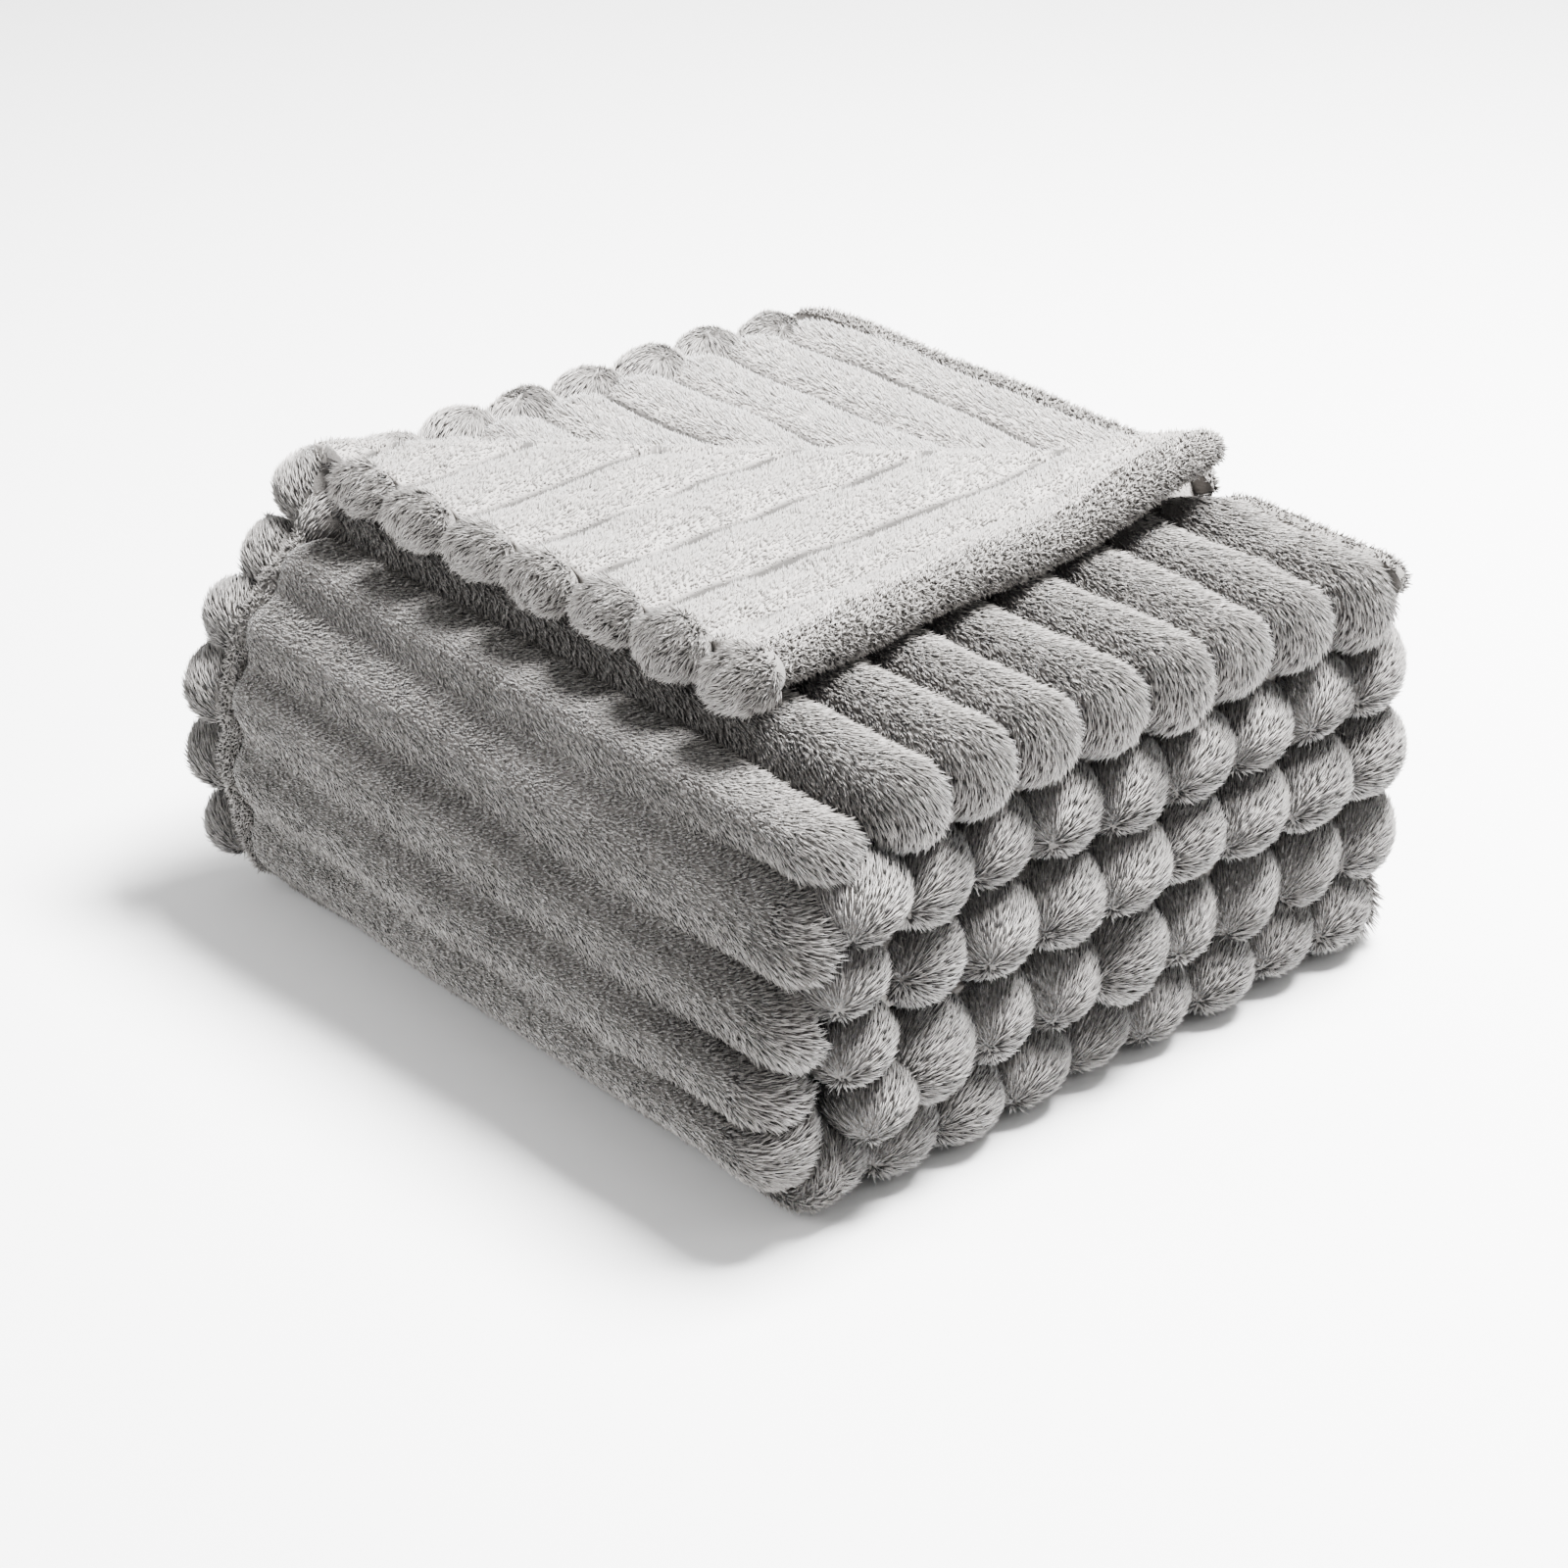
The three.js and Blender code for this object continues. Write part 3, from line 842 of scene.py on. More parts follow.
class THROW_OT_side_turn(bpy.types.Operator):
    """Makes the ribbed cloth that turns round the near side, and the plies that turn inside it"""
    bl_idname = "throw.side_turn"
    bl_label = "Side turn"

    def execute(self, context):
        settings = settings_of(context)
        ts = rib_samples(-6, 0, RIB_STEPS)
        stations = gather_stations(-X_END + 8)
        stations += long_stations(-X_END + 36, X_END - CAP - 14, 60, reach=70.0)
        stations += fold_cap_stations(X_END - 12)
        points, outward, comb = outer_cloth(ts, stations, rib_relief(settings), seed=21)
        points[..., 2] = np.maximum(points[..., 2], 0.8)
        nap = end_nap(points, 0.55)
        piece = cloth_shell("side_turn_cloth", points, 5.0, outward, upright(points), nap, comb,
                            bpy.data.materials["Ribbed cloth"])
        grown = grow_pile(piece, settings, "long", 2)
        finish_cloth(piece, grown, "both",
                     ["side_wrap_lower_face", "side_wrap_lower_backing", "side_wrap_upper_face",
                      "side_wrap_upper_backing"],
                     flat=(6 * PITCH, RIB_LENGTH))
        self.end_hem(settings)
        self.inner_turn(settings)
        return {"FINISHED"}

    def end_hem(self, settings):
        """Balls of the end hem down the -X end of the turn, behind a gathered, curly seam."""
        places = [(-0.45, 16.5), (-1.5, 17.5), (-2.5, 18.0), (-3.5, 18.5), (-4.5, 19.0)]
        rib = np.array([t for t, _ in places])
        middle, normal = crown(rib, np.full(len(rib), float(-X_END)))
        centres = middle - normal * 15.0
        balls = [((-X_END + 8, y, z), (14.5, radius + 0.5, radius), (0.5, -0.3, -0.8), 0.0)
                 for (y, z), (_, radius) in zip(centres, places)]
        first = ((-X_END + 9, Y_RIBS + 10, TOP - 9), (15.0, 17.5, 16.0), (0.4, -0.2, -0.9), 0.0)
        for name, body, own, stands_for in (
                ("side_hem_upper_balls", "top_fold", [first, *balls[:2]], ["top_outer_end_hem"]),
                ("side_hem_lower_balls", "lower_folds", balls[2:], [])):
            piece = ball_piece(name, own, (-0.8, -0.5, 0.2), bpy.data.materials["Ribbed cloth"], 120)
            grown = grow_pile(piece, settings, "ends", 12 + len(own))
            finish_cloth(piece, grown, body, stands_for)
        ts = rib_samples(-5, 0, 12)
        xs = np.array(smooth_run(-X_END + 17, -X_END + 29, 7))
        t = ts[:, None] * np.ones((1, len(xs)))
        x = xs[None, :] * np.ones((len(ts), 1))
        middle, normal = crown(t, x)
        bulge = np.sin(math.pi * (x - xs[0]) / (xs[-1] - xs[0]))
        wander = 3.0 * waves(together(0 * x, t * PITCH, 0 * x), 26, 131)
        out = -6.5 + 3.5 * bulge - 2.0 * (1 - roundness(across_of(t)))
        points = together(x + wander, middle[..., 0] + normal[..., 0] * out, middle[..., 1] + normal[..., 1] * out)
        outward = together(0 * x, normal[..., 0], normal[..., 1])
        piece = cloth_shell("side_gathered_seam", points, 3.0, outward, 1.0, 1.1, np.zeros(3),
                            bpy.data.materials["Hem cloth"])
        grown = grow_pile(piece, settings, "curly", 14)
        finish_cloth(piece, grown, "both", [])

    def inner_turn(self, settings):
        """The second and third plies turn inside: long tubes whose ends show as smaller balls."""
        tubes = [(-137, 137), (-146, 107), (-141, 75), (-130, 45)]
        whorl = (0.5, -0.6, -0.5)
        tips = [((X_END - 25, y + 2, z), (19.0, 20.5, 18.0), whorl, 0.0) for y, z in tubes]
        tips = [(tip, ((-X_END + 21, tip[0][1] + 3, tip[0][2] + 5), (17.0, 19.0, 18.5), (-0.4, -0.3, -0.8), 0.0))
                for tip in tips]
        runs = [((0, y + 8, z - 4), (12.0, 12.0, 14.0), whorl, X_END - 40.0) for y, z in tubes]
        back = ((-X_END + 21, -118, 168), (17.0, 20.0, 17.0), (-0.4, -0.3, -0.8), 0.0)
        own = [("inner_turn_upper", "top_fold", [*tips[0], back, runs[0]], ["inner_wrap_upper"]),
               ("inner_turn_lower", "lower_folds", [*(ball for pair in tips[1:] for ball in pair), *runs[1:]],
                ["inner_wrap_lower"])]
        for name, body, tubes, stands_for in own:
            piece = ball_piece(name, tubes, (0, 0, 0), bpy.data.materials["Ribbed cloth"], 140 + len(tubes),
                               keep=lambda points: 0.2 + 0.8 * smooth((np.abs(points[:, 0]) - X_END + 34) / 8.0))
            grown = grow_pile(piece, settings, "ends", 15 + len(tubes), 0.7)
            finish_cloth(piece, grown, body, stands_for)


def cube_ball(steps=10):
    """Points and four-sided faces of a unit ball, spread evenly and without poles."""
    side = np.tan(np.linspace(-math.pi / 4, math.pi / 4, steps + 1))
    u, v = np.meshgrid(side, side, indexing="ij")
    one = np.ones_like(u)
    sheets = [(one, u, v), (-one, v, u), (v, one, u), (u, -one, v), (u, v, one), (v, u, -one)]
    points = np.concatenate([np.stack(sheet, axis=-1).reshape(-1, 3) for sheet in sheets])
    points /= np.linalg.norm(points, axis=1, keepdims=True)
    at = np.arange((steps + 1) ** 2).reshape(steps + 1, steps + 1)
    one_sheet = quads(at[:-1, :-1], at[1:, :-1], at[1:, 1:], at[:-1, 1:])
    faces = np.concatenate([one_sheet + i * at.size for i in range(6)])
    _, first, same = np.unique(np.round(points, 6), axis=0, return_index=True, return_inverse=True)
    return points[first], same.reshape(-1)[faces]


BALL_POINTS, BALL_FACES = cube_ball()


def ball_piece(name, balls, out, material, seed, keep=lambda points: 1.0):
    """Touching balls as one piece; each is its centre, its radii, its whorl and how far it runs along X.

    The pile of a ball lies away from its whorl. It grows on what faces out and isn't inside a neighbour.
    """
    draw = np.random.default_rng(seed)
    centres = np.array([ball[0] for ball in balls], float)
    radii = np.array([ball[1] for ball in balls], float) * draw.uniform(0.95, 1.05, (len(balls), 1))
    places, piles, lays = [], [], []
    for i, (_, _, whorl, run) in enumerate(balls):
        points = centres[i] + BALL_POINTS * radii[i]
        points[:, 0] += run * np.sign(np.round(BALL_POINTS[:, 0], 3))
        points += BALL_POINTS * (waves(points, 34, seed + i) * 0.9)[:, None]
        points[:, 2] = np.maximum(points[:, 2], 1.0)
        pile = smooth((BALL_POINTS @ np.array(out, float) + 0.35) / 0.3)
        at_far_side = smooth((points[:, 1] - Y_FAR + 42) / 10) * smooth((BALL_POINTS[:, 1] + 0.2) / 0.3)
        pile = np.maximum(pile, at_far_side)
        for j in range(len(balls)):
            if j != i:
                inside = points - centres[j]
                inside[:, 0] -= np.clip(inside[:, 0], -balls[j][3], balls[j][3])
                pile = pile * smooth((np.linalg.norm(inside / radii[j], axis=1) - 0.86) / 0.08)
        whorl = np.array(whorl, float) + draw.normal(0, 0.18, 3)
        whorl /= np.linalg.norm(whorl)
        away = BALL_POINTS - whorl
        away -= BALL_POINTS * (away * BALL_POINTS).sum(axis=1, keepdims=True)
        away /= np.maximum(np.linalg.norm(away, axis=1, keepdims=True), 0.25)
        places.append(points)
        piles.append(pile * keep(points) * smooth((points[:, 2] - 2.0) / 5.0))
        lays.append(away * 0.9)
    count = len(BALL_POINTS)
    faces = np.concatenate([BALL_FACES + i * count for i in range(len(balls))])
    return mesh_piece(name, np.concatenate(places), faces, np.concatenate(piles), 1.0, np.concatenate(lays),
                      material)


class THROW_OT_fold_ends(bpy.types.Operator):
    """Makes the rows of rounded fold ends and hem balls at both ends"""
    bl_idname = "throw.fold_ends"
    bl_label = "Fold ends"

    def execute(self, context):
        settings = settings_of(context)
        # Name, body, node, end, height, half height, first ball's y, number of balls, how far out
        rows = [
            ("row_1_fold_ends", "lower_folds", ["bottom_fold_cap"], 1, 20.5, 18.5, -149, 9, -3.0),
            ("row_2_hem_balls", "lower_folds", ["bottom_inner_end_hem", "middle_inner_end_hem"],
             1, 54, 22, -98, 8, -2.0),
            ("row_3_fold_ends", "lower_folds", ["middle_fold_cap"], 1, 94, 20.5, -99, 8, -2.0),
            ("row_4_hem_balls", "top_fold", ["top_inner_end_hem"], 1, 131, 20, -98, 8, -4.0),
            ("back_row_1_hem", "lower_folds", ["bottom_outer_end_hem"], -1, 14, 14, -149, 9, 0.0),
            ("back_row_2_fold", "lower_folds", ["bottom_inner_fold"], -1, 42, 20, -110, 8, 1.0),
            ("back_row_3_fold", "lower_folds", ["middle_inner_fold", "middle_outer_end_hem"],
             -1, 84, 24, -108, 8, 0.0),
            ("back_row_4_fold", "top_fold", [], -1, 137, 22, -112, 8, 0.0),
            ("back_row_5_fold", "top_fold", ["top_inner_fold"], -1, 177, 18.5, -83, 7, 6.0),
        ]
        for number, (name, body, stands_for, side, z, half, y, count, shift) in enumerate(rows):
            draw = np.random.default_rng(200 + number)
            # How deep and wide its balls are, how far in from the end they lie, and where their pile parts
            if side > 0:
                reach, wide, inset, whorl = 21.0, 22.0, 8.0, (0.75, -0.75, -0.5)
            else:
                reach, wide, inset, whorl = 18.0, 20.5, 2.5, (-0.4, 0.1, -0.9)
            balls = []
            for i in range(count):
                out, aside, up = draw.uniform(-1, 1, 3) * np.array([2.0, 1.2, 1.5])
                centre = (side * (X_END - inset - reach + shift + out), y + i * PITCH + aside, z + up)
                radii = (reach, wide, half + 1.0)
                if count == RIBS + 1 and i == 0:
                    centre = (centre[0], centre[1] + 2, centre[2] + 4)
                    radii = (17.0, 16.5, 15.5)
                balls.append((centre, radii, whorl, 0.0))
            facing = (side, 0, 0) if z < 150 else (0, 0, 0)
            piece = ball_piece(name, balls, facing, bpy.data.materials["Ribbed cloth"], 210 + 10 * number)
            grown = grow_pile(piece, settings, "ends", 60 + number, 1.0 if side > 0 or z > 150 else 0.4)
            finish_cloth(piece, grown, body, stands_for)
            if name == "back_row_5_fold":
                press_down((piece, *grown), z - half, 0.3)
        return {"FINISHED"}


def slab(name, x0, x1, y0, y1, low, high, material, top_ribs=0.0, bottom_ribs=0.0, seed=5, pile_top=0.0,
         pile_bottom=0.0, steps=40):
    """A ply as a closed slab with ribs on top or underneath, or smooth with quilted seams."""
    t = rib_samples(0, RIBS, 8)
    xs = np.array(smooth_run(x0, x1, steps))
    across = across_of(t)
    height = roundness(across)
    y = y0 + (y1 - y0) * t / RIBS
    grid_x = np.repeat(xs[None, :], len(t), axis=0)
    grid_y = np.repeat(y[:, None], len(xs), axis=1)
    flat = together(grid_x, grid_y, 0.0)
    soft = waves(flat, 90, seed) * 0.8
    ends = 1 - 0.35 * (1 - smooth((grid_x - x0) / 12)) - 0.35 * (1 - smooth((x1 - grid_x) / 12))
    top_z = high - 1.0 - top_ribs * (1 - height)[:, None] + soft - 6 * (1 - ends)
    bottom_z = low + 1.0 + bottom_ribs * (1 - height)[:, None] + 6 * (1 - ends)
    top = together(grid_x, grid_y, top_z)
    bottom = together(grid_x, grid_y, bottom_z)
    comb = together(0.8 + 0 * grid_x, (0.3 * across)[:, None] + 0 * grid_x, 0 * grid_x)
    piece = closed_mesh(name, top, bottom, pile_top, 1.0, comb, material)
    if pile_bottom:
        count = len(t) * len(xs)
        pile = np.zeros(2 * count, np.float32)
        pile[count:] = pile_bottom
        nap = np.ones(2 * count, np.float32)
        lay = np.tile(comb.reshape(-1, 3), (2, 1)).astype(np.float32)
        piece.data.attributes["pile"].data.foreach_set("value", pile)
        piece.data.attributes["nap"].data.foreach_set("value", nap)
        piece.data.attributes["comb"].data.foreach_set("vector", lay.ravel())
    return piece


class THROW_OT_plies(bpy.types.Operator):
    """Makes the plies inside the bundle and the one it lies on"""
    bl_idname = "throw.plies"
    bl_label = "Plies"

    def execute(self, context):
        settings = settings_of(context)
        ribbed = bpy.data.materials["Ribbed cloth"]
        plain = bpy.data.materials["Smooth cloth"]
        reach = X_END - 26
        relief = settings.rib_relief
        flat = (RIBS * PITCH, 2 * reach)
        bottom = slab("bottom_cloth", -reach, reach, Y_RIBS, Y_RIBS_END, 0, PLY, ribbed,
                      bottom_ribs=relief * 0.6, seed=61)
        finish_cloth(bottom, [], "lower_folds",
                     ["bottom_outer_ply_face", "bottom_outer_ply_backing"], flat=flat)
        inner = [
            ("bottom_second_ply", 1, "bottom_second_ply"), ("bottom_third_ply", 2, "bottom_third_ply"),
            ("middle_third_ply", 3, "middle_third_ply"), ("middle_second_ply", 4, "middle_second_ply"),
        ]
        for name, level, node in inner:
            ply = slab(name, -reach, reach, Y_RIBS, Y_RIBS_END, level * PLY, (level + 1) * PLY, plain, top_ribs=3,
                       seed=62 + level, steps=20)
            finish_cloth(ply, [], "lower_folds", [f"{node}_face", f"{node}_backing"], flat=flat)
        middle = slab("middle_top_cloth", -reach, reach, Y_RIBS, Y_RIBS_END, 5 * PLY, 6 * PLY - 1, ribbed,
                      top_ribs=relief * 0.7, seed=71, pile_top=0.25)
        grown = grow_pile(middle, settings, "long", 30, 0.45)
        finish_cloth(middle, grown, "lower_folds",
                     ["middle_outer_ply_face", "middle_outer_ply_backing"], flat=flat)
        third = slab("top_third_ply", -reach, reach, Y_RIBS, Y_RIBS_END, 6 * PLY + 1, 7 * PLY, plain,
                     bottom_ribs=4, seed=72, pile_bottom=0.18)
        grown = grow_pile(third, settings, "short", 31)
        finish_cloth(third, grown, "top_fold", ["top_third_ply_face", "top_third_ply_backing"],
                     flat=flat)
        return {"FINISHED"}


class THROW_OT_second_ply(bpy.types.Operator):
    """Makes the second ply, whose quilted reverse shows where the corner is turned over"""
    bl_idname = "throw.second_ply"
    bl_label = "Second ply"

    def execute(self, context):
        settings = settings_of(context)
        t = rib_samples(0, RIBS, RIB_STEPS)
        xs = np.array(smooth_run(-X_END + 17, X_END - 30, 80))
        across = across_of(t)
        grid_x = np.repeat(xs[None, :], len(t), axis=0)
        grid_y = np.repeat((Y_RIBS + 9 + t * (PITCH - 0.6))[:, None], len(xs), axis=1)
        from_crease = (grid_y - CREASE[1]) - (grid_x - CREASE[0])
        bare = smooth((from_crease + 14) / 26) * (1 - smooth((grid_x - CORNER_X + 46) / 18))
        puff = 7.5 * (1 - roundness(across, 0.97)[:, None])
        from_seam = ((1 - np.abs(across)) * PITCH / 2)[:, None] + 0 * grid_x
        low = 7 * PLY + 4
        top = 9 * PLY - 7
        flat = together(grid_x, grid_y, 0.0)
        lift = (TOP + 3.5 - top) * bare
        far = smooth((grid_y[-1, 0] - grid_y) / 14.0)
        edge = smooth((grid_x - xs[0]) / 20.0) + 1.6 * far - 1.6
        rise = 2.0 * smooth((24 - np.abs(from_crease)) / 24) * bare
        top_z = top + lift + rise - puff * bare + waves(flat, 60, 81) * (0.8 + 1.2 * bare) - 6 * (1 - edge)
        points = together(grid_x, grid_y, top_z)
        bottom = together(grid_x, grid_y, low + 0 * grid_x)
        comb = together(-0.6 + 0 * grid_x, 0.25 + (0.2 * across)[:, None] + 0 * grid_x, 0 * grid_x)
        pile = bare * smooth((from_seam - 1.8) / 1.6)
        nap = 0.3 + 0.7 * smooth((from_seam - 1.4) / 7.0)
        # Where the painted shade of the quilted seams falls.
        seam = 1 - smooth((from_seam - 1.6) / 2.2)
        piece = closed_mesh("second_ply", points, bottom, pile, nap, comb, bpy.data.materials["Smooth cloth"], seam)
        grown = grow_pile(piece, settings, "short", 32)
        finish_cloth(piece, grown, "top_fold",
                     ["top_second_ply_face", "top_second_ply_backing"])
        press_down((piece, *grown), low)
        self.far_hem(settings, low)
        return {"FINISHED"}

    def far_hem(self, settings, low):
        """The rolled hem of the second ply, which shows along its far edge."""
        points = hem_roll(-X_END + 5, CORNER_X - 30, 12.0, 17.0, TOP - 14, 4, blunt=10)
        points[..., 1] -= 1.0
        piece = solid_roll("second_ply_upper_hem", points, 1, 1.0, np.array([0.3, 0.1, 0.0]),
                           bpy.data.materials["Hem cloth"])
        grown = grow_pile(piece, settings, "curly", 33, 0.8)
        finish_cloth(piece, grown, "top_fold", [])
        press_down((piece, *grown), low)


def solid_roll(name, outer, axis, pile, comb, material):
    """A closed roll: its round face, and a flat back across it along one axis."""
    inner = outer.copy()
    inner[..., axis] = outer[:1, :, axis]
    middle = np.mean(outer[..., 2], axis=0)
    inner[..., 2] = middle + (outer[..., 2] - middle) * 0.98
    return closed_mesh(name, outer, inner, pile, 1.0, comb, material)


def hem_roll(start, end, width, height, bottom, seed, blunt=24):
    """The points of a rolled hem along X: a long flattened tube, with ends as blunt as that."""
    xs = np.array(smooth_run(start, end, 70))
    angles = np.radians(np.array(smooth_run(130, -130, 19)))
    taper = np.sqrt(np.clip(1 - (np.abs(2 * (xs - start) / (end - start) - 1)) ** blunt, 0.02, 1))
    swell = taper * (1 + 0.05 * np.sin(xs / 17.0 + seed))
    y = Y_RIBS_END - 2 + width * (0.35 + 0.65 * np.cos(angles))[:, None] * swell[None, :]
    z = bottom + height / 2 + height / 2 * np.sin(angles)[:, None] * swell[None, :]
    x = np.repeat(xs[None, :], len(angles), axis=0)
    return together(x, y, np.maximum(z, 0.8))


class THROW_OT_far_side(bpy.types.Operator):
    """Makes the far side: the ribbed turn of the lower folds and the free long hems above it"""
    bl_idname = "throw.far_side"
    bl_label = "Far side"

    def execute(self, context):
        settings = settings_of(context)
        self.far_turn(settings)
        hem = bpy.data.materials["Hem cloth"]
        # Name, start, end, underside, height, how blunt, how far in, what it keeps when pressed, node
        hems = [
            ("third_ply_long_hem", -X_END + 2, X_END - 22, 6 * PLY + 1, 2 * PLY - 2, 24, 0.0, None,
             "top_third_long_hem"),
            ("second_ply_long_hem", -X_END + 1, X_END - 20, 8 * PLY, PLY + 4, 24, 0.0, 0.6,
             "top_second_long_hem"),
            ("top_ply_long_hem", CORNER_X - 26, X_END - 12, 9 * PLY - 3, PLY - 2, 8, 2.5, None,
             "top_outer_long_hem"),
        ]
        for number, (name, start, end, bottom, height, blunt, inward, keep, node) in enumerate(hems):
            points = hem_roll(start, end, 11.0, height, bottom, number, blunt)
            points[..., 1] -= inward
            piece = solid_roll(name, points, 1, 1.0, np.array([0.3, 0.1, 0.0]), hem)
            grown = grow_pile(piece, settings, "curly", 40 + number, 0.4)
            finish_cloth(piece, grown, "top_fold", [node])
            if keep:
                press_down((piece, *grown), bottom, keep)
        points = hem_roll(-X_PLY, X_PLY, 5.0, 2 * PLY - 6, 4 * PLY + 2, 9)
        # Moved to the near side and turned to face it
        points[..., 1] += Y_RIBS - Y_RIBS_END - 2
        points[..., 1] = 2 * (Y_RIBS - 2) - points[..., 1]
        piece = solid_roll("middle_long_hem_roll", points, 1, 0.2, np.array([0.3, 0.0, 0.2]), hem)
        grown = grow_pile(piece, settings, "curly", 44, 2.5)
        finish_cloth(piece, grown, "lower_folds", ["middle_long_hem"])
        return {"FINISHED"}

    def far_turn(self, settings):
        ribs = 3
        t = rib_samples(0, ribs, RIB_STEPS)
        end = X_END - CAP - 11
        stations = [(-end, a, 1.0) for a in smooth_run(215, 95, 11)]
        stations += [(x, 90.0, 1 - float(smooth((end - abs(x)) / 40))) for x in smooth_run(-end, end, 60)]
        stations += [(end, a, 1.0) for a in smooth_run(85, -35, 11)]
        x, angle, ball = (np.array(column)[None, :] * np.ones((len(t), 1)) for column in zip(*stations))
        across = across_of(t)[:, None]
        radius = 15.0
        relief = 6.0 * (1 - ball) + 0.75 * radius * ball
        deep = radius - relief * (1 - roundness(across))
        turn = np.radians(angle)
        swell = 3.0 * np.sin(math.pi * t / ribs)[:, None]
        points = together(
            x + np.cos(turn) * deep,
            Y_FAR - PILE_ROOM - 2 - radius + swell + np.sin(turn) * deep,
            (t * ROW)[:, None] + 0 * x,
        )
        points[..., 2] = np.clip(points[..., 2], 1.5, ribs * ROW - 1)
        outward = together(np.cos(turn), np.sin(turn), 0 * x)
        comb = together(0.7 * np.sin(turn), 0 * x, -0.35 + 0 * x)
        piece = cloth_shell("far_turn_cloth", points, 5.0, outward, upright(points), 1.0, comb,
                            bpy.data.materials["Ribbed cloth"])
        grown = grow_pile(piece, settings, "long", 45, 0.34)
        finish_cloth(piece, grown, "lower_folds",
                     ["far_wrap_rib_1", "far_wrap_rib_2", "far_wrap_rib_3"],
                     flat=(2 * X_END, ribs * ROW))


CORNER_THICKNESS = 13.0
CORNER_PITCH = 40.5
CORNER_RIBS = 7
TIP_Y = Y_FAR - 26
FIRST_SEAM = CORNER_X + 12 - CORNER_RIBS * CORNER_PITCH


def corner_edge(y):
    """How far along X the long hem of the turned corner lies: it draws in towards the tip."""
    share = np.clip((y - CREASE[1]) / (TIP_Y - CREASE[1]), 0, 1)
    return CORNER_X - 8 - 14 * share**1.6 - 4 * np.sin(math.pi * share)


def corner_height(points, settings):
    """The height of the middle of the turned corner: on the ribs, and lifted at its far tip."""
    x = points[..., 0]
    y = points[..., 1]
    tip = smooth((y - (TIP_Y - 100)) / 100) * smooth((x - 0.0) / 80)
    sag = 1.6 * waves(points * np.array([1.0, 1.0, 0.0]), 90, 91)
    return TOP + CORNER_THICKNESS / 2 + 2.0 + settings.corner_lift * tip + sag


